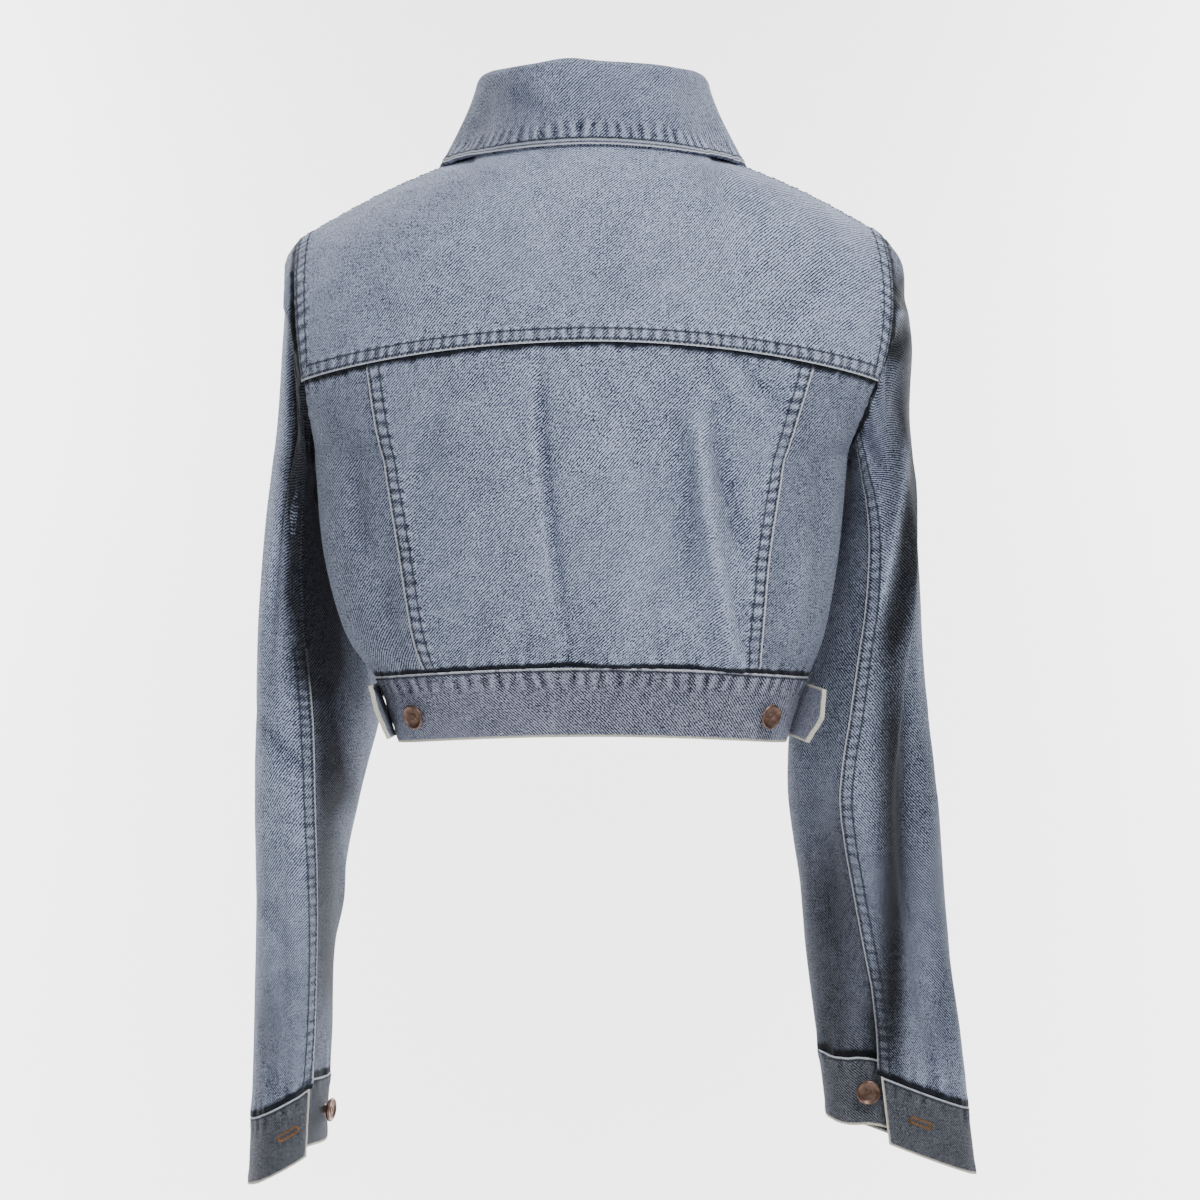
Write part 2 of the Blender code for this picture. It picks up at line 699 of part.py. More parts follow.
def build_collar(home):
    half = steps(0, 0.5, COLLAR_BACK_COLUMNS) + steps(0.5, 1, COLLAR_FRONT_COLUMNS)[1:]
    around = [-place for place in reversed(half)][:-1] + half
    grids = []
    for wall in (0.0, BAND_WALL):
        columns = []
        for place in around:
            mirror = np.array([1 if place >= 0 else -1, 1, 1])
            columns.append([point * mirror for point in collar_profile(abs(place), wall)])
        grids.append(np.array(columns).transpose(1, 0, 2))
    cloth("collar", grids[0], grids[1], "denim_dark", home)


# ---------------------------------------------------------------- sleeves and cuffs


def armhole_ring(side):
    """The armhole's edge as sewn, from the shoulder down the back, under the arm and up the front."""
    down = [level for level in reversed(body_levels()[UNDERARM_LEVEL * LEVEL_STEPS :])]
    levels = [level for level in reversed(top_levels())][:-1] + down
    back = [back_plain(side, level) for level in levels]
    front = [front_plain(side, level) for level in reversed(levels)]
    return np.array(back + front[1:-1])


def sleeve_ring(side, place):
    """A ring of points around the sleeve at a place counted in its table's rows."""
    table = SLEEVES[side]
    get = {name: table.at(name, place) for name in table.names}
    outer = np.array([get["x_out"], 0, get["z_out"]])
    inner = np.array([get["x_in"], 0, get["z_in"]])
    middle = (outer + inner) / 2 + np.array([0, get["y_mid"], 0])
    wide_axis = unit(outer - inner)
    deep_axis = np.array([0.0, 1.0, 0.0])
    lean = math.radians(get["lean"])
    half_extent = np.linalg.norm(outer - inner) / 2
    leaning = get["half_depth"] * math.sin(lean)
    half_width = math.sqrt(max(half_extent**2 - leaning**2, LEAST_HALF_WIDTH**2)) / math.cos(lean)
    across = wide_axis * math.cos(lean) - deep_axis * math.sin(lean)
    back = deep_axis * math.cos(lean) + wide_axis * math.sin(lean)
    ring = []
    for step in range(RING):
        angle = math.radians(360 / RING * step + get["twist"])
        point = middle + across * half_width * math.cos(angle) + back * get["half_depth"] * math.sin(angle)
        ring.append(point * np.array([side, 1, 1]))
    return np.array(ring)


def sleeve_fold(side, place, step):
    """How far the sleeve's folds move the cloth out at this place and ring step."""
    total = 0.0
    for start, end, step_start, step_end, reach, depth in SLEEVE_FOLDS[side].values:
        along = (place - start) / (end - start)
        if not -0.15 < along < 1.15:
            continue
        fade = smooth(min((along + 0.15) / 0.45, (1.15 - along) / 0.45))
        away = (step - (step_start + (step_end - step_start) * along) + RING / 2) % RING - RING / 2
        total += depth * fade * math.exp(-((away / reach) ** 2))
    return total


def body_reach(side, y, z):
    """How far from the centre line the body's outside lies at this depth and height."""
    low, high = 0.0, float(UNDERARM_LEVEL)
    for _ in range(20):
        middle = (low + high) / 2
        if BACK.at("z_edge", middle) < z:
            low = middle
        else:
            high = middle
    level = (low + high) / 2
    table = BACK if y > BACK.at("y_edge", level) else FRONT
    edge = table.at("y_edge", level)
    turn = math.radians(table.at("turn", level))
    exponent = 2 / table.at("square", level)
    edge_cos = power(math.cos(turn), exponent)
    along = (y - edge) / (table.at("y_mid", level) - edge)
    if along >= 1:
        return 0.0
    angle = math.acos(min(max(power(along * (1 - edge_cos) + edge_cos, 1 / exponent), -1), 1))
    across = power(math.sin(angle), exponent) / power(math.sin(turn), exponent)
    return table.at("x_left" if side > 0 else "x_right", level) * across


def keep_clear(side, point):
    """Moves a sleeve point out until it is clear of the body that it rests against."""
    underarm, bottom = BACK.at("z_edge", UNDERARM_LEVEL), WAISTBAND.at("z_edge", 1) - 0.01
    if not bottom < point[2] < underarm + SCYE_CLEAR:
        return point
    least = body_reach(side, point[1], max(point[2], BACK.at("z_edge", 0))) + CLEAR_OF_BODY
    least += EASE_OFF_BODY * smooth((underarm - point[2]) / 0.02)
    moved = point.copy()
    moved[0] = side * max(side * point[0], least)
    return moved


def ring_normals(rings):
    """Normals of a tube given as rings, away from its inside."""
    around = np.roll(rings, -1, axis=1) - np.roll(rings, 1, axis=1)
    along = np.gradient(rings, axis=0)
    normals = directions(np.cross(around, along))
    middle = rings.mean(axis=1, keepdims=True)
    facing = (normals * (rings - middle)).sum(axis=2).mean()
    return normals if facing > 0 else -normals


def sleeve_rings(side):
    """(outside, inside) rings of the whole tube, the first at the armhole and the last at the wrist."""
    armhole = armhole_ring(side) + np.array([side * SEAM_GAP * 2, 0, 0])
    places = steps(0, SLEEVES[side].last, SLEEVES[side].last * SLEEVE_STEPS)
    found = [sleeve_ring(side, place) for place in places]
    rings = np.array([armhole, (armhole + found[0]) / 2] + found)
    normals = ring_normals(rings)
    for step in range(RING):
        over_top = max(math.cos(2 * math.pi * step / RING), 0)
        rings[1, step] += normals[1, step] * CROWN_ROUND * over_top
    for index, place in enumerate(places, start=2):
        for step in range(RING):
            rings[index, step] += normals[index, step] * sleeve_fold(side, place, step)
    for row in rings[1:]:
        row[:] = [keep_clear(side, point) for point in row]
    normals = ring_normals(rings)
    centre = armhole.mean(axis=0)
    radial = armhole - centre
    radial[:, 0] = 0
    normals[0] = directions(radial)
    return rings, rings - normals * BODY_WALL, normals


def slit_drop(rings, row):
    """1 at the wrist, 0 where the slit above the cuff ends."""
    height = np.linalg.norm(rings[row, BACK_SEAM] - rings[-1, BACK_SEAM])
    return smooth(1 - height / SLIT_LENGTH)


def lap_of(step):
    """How far inside the underlap lies at this ring step, as a share of its depth."""
    return smooth((BACK_SEAM + 3 - step) / 3)


def lap_shift(side, grids, row, step):
    """How an open lap moves the cloth of the under side: inward, and up the arm."""
    rings, _, normals = grids
    share = lap_of(step) * slit_drop(rings, row)
    inward = ring_at(normals[row], step) * -CUFF_LAP_DEPTH
    return share * (inward - cuff_axis(rings) * CUFF_LAP_RISE[side])


def sleeve_piece(side, grids, ring_steps, under):
    """The part of the tube that a piece covers, the under sleeve drawn inside along the slit."""
    rings, inner, _ = grids
    chosen = []
    half_gap = SEAM_GAP / 2 + 2 * CURVE_SPARE
    around = directions(np.roll(rings, -1, axis=1) - np.roll(rings, 1, axis=1))
    along = directions(np.gradient(rings, axis=0))
    off_seam = directions(around - along * (around * along).sum(axis=2, keepdims=True)) * half_gap
    for layer in (rings, inner):
        layer = layer.copy()
        if under:
            for row in range(len(rings)):
                for step in range(BACK_SEAM, BACK_SEAM + 4):
                    layer[row, step] += lap_shift(side, grids, row, step)
        layer = layer[:, ring_steps]
        layer[:, 0] += off_seam[:, ring_steps[0]]
        layer[:, -1] -= off_seam[:, ring_steps[-1]]
        chosen.append(pull_in(layer, ("last_row",), half_gap))
    return chosen


def build_sleeve(side, name, home):
    grids = sleeve_rings(side)
    under_steps = list(range(BACK_SEAM, FRONT_SEAM + 1))
    upper_steps = [step % RING for step in range(FRONT_SEAM, RING + BACK_SEAM + 1)]
    for part, ring_steps, under in (("upper", upper_steps, False), ("under", under_steps, True)):
        layers = sleeve_piece(side, grids, ring_steps, under)
        top = [pull_in(layer[: ELBOW_ROW + 1], ("last_row",), SEAM_GAP / 2) for layer in layers]
        low = [pull_in(layer[ELBOW_ROW:], ("first_row",), SEAM_GAP / 2) for layer in layers]
        cloth(f"sleeve_{part}_top_{name}", *top, "denim", home)
        cloth(f"sleeve_{part}_low_{name}", *low, "denim", home)
    build_cuff(side, name, grids, home)


def ring_at(ring, step):
    """A point between two ring steps."""
    low = math.floor(step)
    share = step - low
    return ring[low % RING] * (1 - share) + ring[(low + 1) % RING] * share


def cuff_axis(rings):
    return unit(rings[-1].mean(axis=0) - rings[-3].mean(axis=0))


def cuff_steps():
    """Ring steps along the cuff, from its over end at the slit, round the arm, to its under end."""
    around = steps(BACK_SEAM, BACK_SEAM - RING, RING)
    return around + [BACK_SEAM - RING - CUFF_LAP_STEPS]


def cuff_point(side, grids, step, drop, depth):
    """A point of the cuff: drop runs down its height, depth goes into its wall."""
    rings, _, normals = grids
    normal = unit(ring_at(normals[-1], step))
    down = cuff_axis(rings) * (SEAM_GAP + CUFF_HEIGHT * drop)
    lapped = lap_shift(side, grids, len(rings) - 1, step + RING)
    return ring_at(rings[-1], step) + down + lapped - normal * depth


def build_cuff(side, name, grids, home):
    layers = []
    for depth in (0.0, BAND_WALL):
        drops = steps(0, 1, 2)
        rows = [[cuff_point(side, grids, step, drop, depth) for step in cuff_steps()] for drop in drops]
        layers.append(np.array(rows))
    cloth("cuff_" + name, layers[0], layers[1], "denim_dark", home)
    step = BACK_SEAM - RING + CUFF_BUTTON_STEP[side]
    before, seat, after = [cuff_point(side, grids, step + off, 0.5, 0.0) for off in (-0.4, 0, 0.4)]
    across = after - before
    normal = unit(np.cross(across, cuff_axis(grids[0])))
    if np.dot(normal, ring_at(grids[2][-1], step)) < 0:
        normal = -normal
    button("cuff_button_" + name, seat + normal * CUFF_BUTTON_CLEAR, normal, home)


# ---------------------------------------------------------------- buttons


def button_profile():
    """Half of a shank button's outline, from the middle of its face down to the foot of its shank."""
    top = SHANK_HEIGHT + BUTTON_HEAD
    return [
        (0, top - 0.0005),
        (BUTTON_RADIUS - 2 * BUTTON_RIM, top - 0.0005),
        (BUTTON_RADIUS - BUTTON_RIM, top),
        (BUTTON_RADIUS, top - BUTTON_RIM),
        (BUTTON_RADIUS - BUTTON_RIM, SHANK_HEIGHT),
        (SHANK_RADIUS, SHANK_HEIGHT),
        (SHANK_RADIUS, 0),
        (0, 0),
    ]


def button(name, seat, normal, home):
    """A turned shank button that stands on the cloth at seat, facing along normal."""
    profile = button_profile()
    mesh = bpy.data.meshes.new(name)
    edges = [(index, index + 1) for index in range(len(profile) - 1)]
    mesh.from_pydata([(x, 0, z) for x, z in profile], edges, [])
    made = add_object(name, mesh, "copper", home)
    turned = made.modifiers.new("turned", "SCREW")
    turned.steps = turned.render_steps = BUTTON_SIDES
    turned.use_merge_vertices = True
    turned.merge_threshold = 0.0001
    turned.use_smooth_shade = True
    axis = Vector(normal.tolist())
    place = Vector((seat + normal * SEAM_GAP).tolist())
    made.matrix_world = Matrix.Translation(place) @ axis.to_track_quat("Z", "Y").to_matrix().to_4x4()


def front_level(height):
    """The level at which the centre front reaches this height."""
    low, high = 0.0, TOP_LEVEL + 1.0
    for _ in range(28):
        middle = (low + high) / 2
        if front_plain(0.0, middle)[2] < height:
            low = middle
        else:
            high = middle
    return low


def waistband_share(x):
    """The share at which the back of the waistband lies x away from the centre line."""
    low, high = 0.0, 1.0
    for _ in range(28):
        middle = (low + high) / 2
        if section(WAIST_BACK, middle, 0.6)[0] < x:
            low = middle
        else:
            high = middle
    return low


def build_buttons(home):
    share = waistband_share(WAIST_BUTTON_X)
    for side, name in ((1, "left"), (-1, "right")):
        seat, normal = waistband_point(False, side * share, 0.6)
        button("waist_button_" + name, seat, normal, home)
    heights = steps(FRONT_BUTTON_TOP, FRONT_BUTTON_LOW, FRONT_BUTTONS - 1)
    for index, height in enumerate(heights, start=1):
        seat, normal = front_point(0.0, front_level(height))
        seat = seat + normal * (SEAM_GAP + BODY_WALL)
        button(f"front_button_{index}", seat, normal, home)
    seat, normal = waistband_point(True, 0.0, 0.5)
    button("waistband_button", seat + normal * (SEAM_GAP + BAND_WALL), normal, home)


# ---------------------------------------------------------------- the jacket


def clear_scene():
    for old in list(bpy.data.objects):
        bpy.data.objects.remove(old, do_unlink=True)


def main():
    clear_scene()
    home = bpy.data.collections.new("denim_jacket")
    bpy.context.scene.collection.children.link(home)
    build_back(home)
    build_fronts(home)
    build_waistband(home)
    build_tabs(home)
    build_collar(home)
    for side, name in ((1, "left"), (-1, "right")):
        build_sleeve(side, name, home)
    build_buttons(home)
    bpy.context.view_layer.update()


main()
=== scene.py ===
"""Dresses the frame of a cropped denim jacket: cloth, seams, stitching, buttons, stage and light.
Metres, +Z up, front toward -Y, wearer's left toward +X, origin at the base of the neck."""

import math

import bpy
import numpy as np
from mathutils.kdtree import KDTree
from mathutils import Matrix, Vector


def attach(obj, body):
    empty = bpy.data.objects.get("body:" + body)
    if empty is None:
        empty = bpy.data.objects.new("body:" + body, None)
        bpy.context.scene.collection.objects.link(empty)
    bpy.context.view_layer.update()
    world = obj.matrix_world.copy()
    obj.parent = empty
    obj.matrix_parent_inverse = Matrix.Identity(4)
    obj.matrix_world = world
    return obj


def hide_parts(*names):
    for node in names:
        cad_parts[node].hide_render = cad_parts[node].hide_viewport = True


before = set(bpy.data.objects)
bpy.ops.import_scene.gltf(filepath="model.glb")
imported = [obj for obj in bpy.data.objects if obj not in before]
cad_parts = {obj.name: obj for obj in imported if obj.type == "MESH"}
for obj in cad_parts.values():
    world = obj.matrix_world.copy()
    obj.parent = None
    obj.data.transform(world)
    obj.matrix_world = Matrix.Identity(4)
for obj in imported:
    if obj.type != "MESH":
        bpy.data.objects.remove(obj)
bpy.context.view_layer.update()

bl_info = {
    "name": "Denim Jacket",
    "version": (1, 0, 0),
    "blender": (4, 5, 0),
    "location": "3D View > Sidebar > Jacket",
    "description": "Builds the cloth, stitching and buttons of a cropped denim jacket on its frame",
    "category": "Object",
}

UP = np.array([0.0, 0.0, 1.0])
BACKWARD = np.array([0.0, 1.0, 0.0])

# ---------------------------------------------------------------- the frame's own sizes

BODY_WALL = 0.0018  # one ply of heavy denim with its seam allowances
BAND_WALL = 0.0026  # waistband, cuffs, collar and tabs are doubled
SEAM_GAP = 0.0003  # clearance between neighbouring pieces
CLEAR_OF_BODY = 0.0012  # a sleeve starts this far off the body it rests against
EASE_OFF_BODY = 0.0030  # and eases this much further off below the underarm
SCYE_CLEAR = 0.0100  # the rule holds from this far above the underarm
NECK_HALF_WIDTH = 0.078
NECK_POINT = (NECK_HALF_WIDTH, -0.005, 0.010)
NECK_BACK = (0.062, 0.018)  # y, z of the neck seam at the centre back
NECK_FRONT = (-0.084, -0.062)  # y, z of the neck seam at the centre front
NECK_SHARE = 0.42  # share of the top line, from the centre, that the neck takes
NECK_EASE = {-1: (0.05, 0.42), 1: (0.15, 0.50)}  # shares where the rise to the neck eases, back, front
SHOULDER_TIP = {1: (0.195, -0.012, -0.045), -1: (0.192, -0.012, -0.042)}
SHOULDER_BOW = 0.004  # the shoulder seam rises this much midway
BAND_HALF_WIDTH = 0.019  # front band, lapped over the centre line
UNDER_BAND_HALF_WIDTH = 0.017
BAND_TOP_SHY = 0.035  # share of the chest's rise that the over band stops short of the collar
WAISTBAND_LAP_RAMP = 0.030  # the lapped end rises over this length
COLLAR_FOLD_RADIUS = 0.0046
COLLAR_END_X = 0.012
CUFF_HEIGHT = 0.046
CUFF_LAP_DEPTH = 0.0052  # the underlap lies this far inside the overlap
CUFF_LAP_STEPS = 1.3  # and reaches this many ring steps past it
CUFF_LAP_RISE = {1: 0.003, -1: 0.009}  # the open underlap has slid this far up the arm
CUFF_BUTTON_STEPS = {1: 2.4, -1: 0.9}  # ring steps from the lapped end to the button
CUFF_BUTTON_CLEAR = 0.0003  # more clearance under a shank that stands on a curve
SLIT_LENGTH = 0.070  # the back sleeve seam is open this far above the cuff
TAB_LENGTH = 0.050
TAB_NOSE = 0.013
TAB_PLACE = 0.92  # share along the back of the waistband where the tab is sewn on
TAB_SPREAD = {1: 0.03, -1: 0.24}  # how far each tab leans off the band, per metre run
BUTTON_RADIUS = 0.0082
BUTTON_HEAD = 0.0026
SHANK_RADIUS = 0.0030
SHANK_HEIGHT = 0.0034
WAIST_BUTTON_X = 0.1125
FRONT_BUTTONS = 5
FRONT_BUTTON_TOP = -0.085
FRONT_BUTTON_LOW = -0.305
LEVEL_STEPS = 2
TOP_STEPS = 6
RING = 24  # sleeve steps around: 0 at the shoulder, 6 at the back, 12 at the underarm, 18 at the front
BACK_SEAM = 8
FRONT_SEAM = 16
SIDES = ((1, "left"), (-1, "right"))  # the wearer's


# Columns that hold plain numbers, degrees, steps or shares. All others are in millimetres.
PLAIN_COLUMNS = (
    "turn square lean twist start end step_start step_end place_start place_end"
    " reach_steps bow_steps skew share"
).split()


def curve(a, b, c, d, t):
    """A Catmull-Rom curve between b and c."""
    return 0.5 * (2 * b + (c - a) * t + (2 * a - 5 * b + 4 * c - d) * t**2 + (3 * b - a - 3 * c + d) * t**3)


class Table:
    """A short table with named columns and rows, read smoothly between its rows. Where a corner is
    given, the columns named in bends may turn sharply at that row."""

    def __init__(self, columns, text, corner=None, bends=""):
        self.names = columns.split()
        units = ["" if name in PLAIN_COLUMNS else "e-3" for name in self.names]
        rows = [line.split() for line in text.strip().splitlines()]
        self.rows = [row[0] for row in rows]
        self.values = np.array([[float(a + b) for a, b in zip(row[1:], units)] for row in rows])
        self.last = len(rows) - 1
        self.corner = corner
        self.bends = bends.split()

    def at(self, name, place):
        """The column's value at a place counted in rows."""
        column = self.values[:, self.names.index(name)]
        place = min(max(place, 0.0), self.last)
        row = min(int(place), self.last - 1)
        turns = self.corner if name in self.bends else None
        b, c = column[row], column[row + 1]
        a = 2 * b - c if row in (0, turns) else column[row - 1]
        d = 2 * c - b if row + 1 in (self.last, turns) else column[row + 2]
        return curve(a, b, c, d, place - row)

    def row(self, place):
        """Every column's value at this place, by name."""
        return {name: self.at(name, place) for name in self.names}


UNDERARM_LEVEL = 3  # row of the two tables below where the side seam ends and the armhole starts
EDGE_COLUMNS = "z_edge y_edge x_left x_right turn square"
SECTION_COLUMNS = "z_mid z_edge y_mid y_edge x_left x_right turn square"
# Sections of the back, from the waist seam up to the yoke seam. Its edge is the side seam as far as
# the underarm, and the armhole above it. turn is the angle that the section has turned at its edge,
# seam_x is where the seam between centre and side lies.
BACK = Table("z_mid z_edge y_mid y_edge x_left x_right seam_x turn square", """
    waist    -329 -336  96  4 141.5 140 106  98 2.25
    blouse   -303 -308 106  4   160 150 111 100 2.25
    rib      -255 -256 110  4   173 158 117 102 2.25
    under    -205 -192 112  0   179 164 126 102  2.2
    scye_low -180 -182 112 28   182 169 131  94 2.15
    scye_mid -153 -166 111 44   185 176 136  86  2.1
    yoke     -122 -143 108 52   188 185 142  80 2.05
""", corner=UNDERARM_LEVEL, bends=EDGE_COLUMNS)
# Sections of the fronts at the same levels, up to the front of the armhole.
FRONT = Table(SECTION_COLUMNS, """
    waist    -336 -336 -104   4 141.5 140 82  2.2
    blouse   -310 -308 -113   4   160 150 80  2.2
    rib      -260 -256 -121   4   173 158 78 2.15
    under    -212 -192 -127   0   179 164 78  2.1
    scye_low -188 -182 -127 -32   176 164 78  2.1
    scye_mid -164 -166 -125 -50   173 165 76 2.05
    chest    -137 -143 -120 -60   174 171 72    2
""", corner=UNDERARM_LEVEL, bends=EDGE_COLUMNS)
TOP_LEVEL = BACK.last
# The waistband from its seam to its hem, as seen from the back and from the front.
WAIST_BACK = Table(SECTION_COLUMNS, """
    seam -329 -336 96 4 141.5 140 98 2.25
    hem  -373 -379 90 4 126.5 126 98 2.25
""")
WAIST_FRONT = Table(SECTION_COLUMNS, """
    seam -336 -336 -104 4 141.5 140 82 2.2
    hem  -380 -379  -97 4 126.5 126 82 2.2
""")
# Sleeve sections, from the crown down to the wrist, side by side for the two sleeves.
# x_out and x_in are how far the section reaches from the centre line, lean turns it about its own
# middle so that its rear edge stands outward, twist slides the seams around it.
SLEEVE_COLUMNS = "x_out z_out x_in z_in y_mid half_depth lean twist"
SLEEVES = {
    1: Table(SLEEVE_COLUMNS, """
    crown         203  -72 184 -198 -10 64  0  0
    cap           206 -116 182 -207 -18 69  3  0
    biceps      209.5 -172 174 -222 -30 73  8  0
    upper         216 -228 162 -252 -40 73 14  0
    above_elbow   223 -300 150 -305 -46 67 20  0
    elbow       226.7 -366 147 -366 -48 63 20  2
    below_elbow   228 -425 162 -420 -47 63 10  6
    forearm       228 -490 171 -480 -48 61  4 10
    lower         230 -552 177 -530 -50 58  0 12
    above_wrist 231.5 -602 178 -576 -52 53  0 10
    wrist         233 -637 180 -608 -54 48  0  8
"""),
    -1: Table(SLEEVE_COLUMNS, """
    crown         208  -78 168 -198 -10 64  0   0
    cap           213 -118 166 -207 -16 68  3  -4
    biceps        211 -172 162 -224 -26 70  8 -10
    upper         220 -232 152 -252 -34 68 14 -14
    above_elbow 224.5 -300 142 -306 -38 61 18 -15
    elbow         229 -364 134 -364 -40 53 14 -16
    below_elbow 234.5 -425 132 -418 -40 47  6 -14
    forearm       239 -492 140 -475 -41 43  0 -18
    lower         245 -546 144 -520 -42 37  0 -20
    above_wrist 251.5 -594 149 -560 -43 30  0 -20
    wrist         255 -630 153 -590 -44 25  0 -18
"""),
}
SLEEVE_STEPS = 2  # grid rows between two sections
LEAST_HALF_WIDTH = 0.015  # a sleeve is never flatter than this
CROWN_ROUND = 0.0045  # the sleeve head swells this far between the armhole and the crown
# Largest folds of the sleeves: section where each starts and ends, ring step at those two places,
# half width in ring steps, and depth, inward if negative.
FOLD_COLUMNS = "start end step_start step_end reach_steps depth"
SLEEVE_FOLDS = {
    1: Table(FOLD_COLUMNS, """
    rear_valley    0.4 4.4 4.6  5.4 1.5 -9
    rear_ridge     0.6 4.6   3  3.4 1.4  2
    elbow_ridge    4.4 6.4 8.5 12.5 1.8  4
    forearm_valley 5.6 8.8   5  4.2 1.5 -6
    front_valley     3   7  18 20.5 1.9 -7
"""),
    -1: Table(FOLD_COLUMNS, """
    cap_hollow   0.2 1.6  4.2  5.4 1.6 -10
    rear_valley  2.9 9.2  3.9  4.9 1.3 -17
    flap_ridge   1.8 4.4  4.9  6.6 1.2   5
    inner_valley   5   8   11  9.6 1.5  -7
    front_valley 3.4 7.6 19.5 17.5 1.9  -7
"""),
}
# Largest folds of the back: x and z at each end, half width, and depth, inward if negative.
BACK_FOLDS = Table("x_low z_low x_high z_high reach depth", """
    centre_crease  17 -325   37 -150 11 -3.6
    centre_swell  -10 -320    4 -160 22  2.2
    right_ridge   -88 -322  -68 -175 13  3.2
    right_valley  -60 -318  -48 -175 14 -2.6
    under_yoke    -72 -175 -125 -140 10 -2.2
    left_side     130 -300  155 -190 12   -3
""")
# The collar, from the centre back round to its front point: the top of its fold and its free edge. The
# first row mirrors the blade, so that the collar runs level across the centre back.
COLLAR = Table("fold_x fold_y fold_z edge_x edge_y edge_z", """
    blade_mirrored  -51  48   56 -64     59   4
    back              0  68   56   0   79.5   5
    blade            51  48   56  64     59   4
    side           73.5   0 53.5 100      4 6.5
    throat           60 -54   18 101    -66 -21
    point            22 -93  -33  52 -112.5 -92
""")


def smooth(t):
    """0 to 1, level at both ends."""
    t = min(max(t, 0.0), 1.0)
    return t * t * (3 - 2 * t)


def unit(vector):
    return vector / max(np.linalg.norm(vector), 1e-12)


def power(value, exponent):
    """A signed power, for rounded sections."""
    return math.copysign(abs(value) ** exponent, value)


def directions(vectors):
    return vectors / np.maximum(np.linalg.norm(vectors, axis=-1, keepdims=True), 1e-12)


def steps(start, end, count):
    return [start + (end - start) * index / count for index in range(count + 1)]


def rounding(table, level):
    """The angle that a section turns to its edge, and the exponent that squares it."""
    return math.radians(table.at("turn", level)), 2 / table.at("square", level)


def section(table, share, level):
    """A point on a level section: share runs from 0 at the centre to 1 or -1 at the edge."""
    turn, exponent = rounding(table, level)
    angle = abs(share) * turn
    edge_cos = power(math.cos(turn), exponent)
    across = power(math.sin(angle), exponent) / power(math.sin(turn), exponent)
    along = (power(math.cos(angle), exponent) - edge_cos) / (1 - edge_cos)
    y_edge, z_mid = table.at("y_edge", level), table.at("z_mid", level)
    x = math.copysign(table.at("x_left" if share >= 0 else "x_right", level) * across, share)
    y = y_edge + (table.at("y_mid", level) - y_edge) * along
    z = z_mid + (table.at("z_edge", level) - z_mid) * across**2
    return np.array([x, y, z])


def top_line(share, neck_y, neck_z):
    """The neck seam, then the shoulder seam, from the centre out to the shoulder tip."""
    side = 1 if share >= 0 else -1
    share = abs(share)
    x, y, z = NECK_POINT
    if share <= NECK_SHARE:
        angle = share / NECK_SHARE * math.pi / 2
        turned = math.cos(angle)
        point = np.array([x * math.sin(angle), y + (neck_y - y) * turned, z + (neck_z - z) * turned**1.5])
    else:
        along = (share - NECK_SHARE) / (1 - NECK_SHARE)
        point = np.array(NECK_POINT)
        point = point + (np.array(SHOULDER_TIP[side]) - point) * along
        point[2] += SHOULDER_BOW * math.sin(math.pi * along)
    point[0] *= side
    return point


def upper(table, share, rise, neck, forward):
    """The cloth above the last section, rounded up and over to the top line. rise runs from 0 to 1."""
    foot = section(table, share, TOP_LEVEL)
    end = top_line(share, *neck)
    below = section(table, share, TOP_LEVEL - 0.05)
    leave = unit(foot - below)
    start, span = NECK_EASE[forward]
    neck_pull = 1 - smooth((abs(share) - start) / span)
    arrive = unit(np.array([0, forward * (1 - 0.30 * neck_pull), 0.12 + 0.60 * neck_pull]))
    reach = np.linalg.norm(end - foot)
    first = foot + leave * reach * 0.38
    second = end - arrive * reach * (0.50 - 0.08 * neck_pull)
    keep = 1 - rise
    return keep**3 * foot + 3 * keep**2 * rise * first + 3 * keep * rise**2 * second + rise**3 * end


def seam_share(level):
    """The share at which the seam between centre back and side back lies."""
    level = min(level, TOP_LEVEL)
    wide = 0.5 * (BACK.at("x_left", level) + BACK.at("x_right", level))
    turn, exponent = rounding(BACK, level)
    across = BACK.at("seam_x", level) / wide * power(math.sin(turn), exponent)
    return math.asin(min(across, 1) ** (1 / exponent)) / turn


def back_fold(point):
    """How far the back's folds move the cloth out at this point."""
    total = 0.0
    for x_low, z_low, x_high, z_high, reach, depth in BACK_FOLDS.values:
        along = (point[2] - z_low) / (z_high - z_low)
        if not -0.25 < along < 1.25:
            continue
        fade = smooth(min((along + 0.25) / 0.35, (1.25 - along) / 0.35))
        away = (point[0] - (x_low + (x_high - x_low) * along)) / reach
        total += depth * fade * math.exp(-(away**2))
    return total


def back_plain(share, level):
    if level <= TOP_LEVEL:
        return section(BACK, share, level)
    return upper(BACK, share, level - TOP_LEVEL, NECK_BACK, -1)


def front_plain(share, level):
    if level <= TOP_LEVEL:
        return section(FRONT, share, level)
    return upper(FRONT, share, level - TOP_LEVEL, NECK_FRONT, 1)


def halve(falls_short, high, times=28):
    """The two places, closing in from 0 and high, between which falls_short stops being true."""
    low = 0.0
    for _ in range(times):
        middle = (low + high) / 2
        if falls_short(middle):
            low = middle
        else:
            high = middle
    return low, high


def share_at_x(level, x):
    """The share at which the front lies x away from the centre line."""
    side = 1 if x >= 0 else -1
    return side * sum(halve(lambda share: abs(front_plain(side * share, level)[0]) < abs(x), 1.0)) / 2


def waistband_point(front, share, drop):
    """(point, normal) of the waistband, drop running from 0 at the seam to 1 at the hem."""
    table = WAIST_FRONT if front else WAIST_BACK
    step = 0.01
    point = section(table, share, drop)
    across = section(table, min(share + step, 1), drop) - section(table, max(share - step, -1), drop)
    down = section(table, share, 1) - section(table, share, 0)
    normal = unit(np.cross(across, down))
    outward = np.array([point[0], point[1], 0])
    return point, normal if np.dot(normal, outward) > 0 else -normal


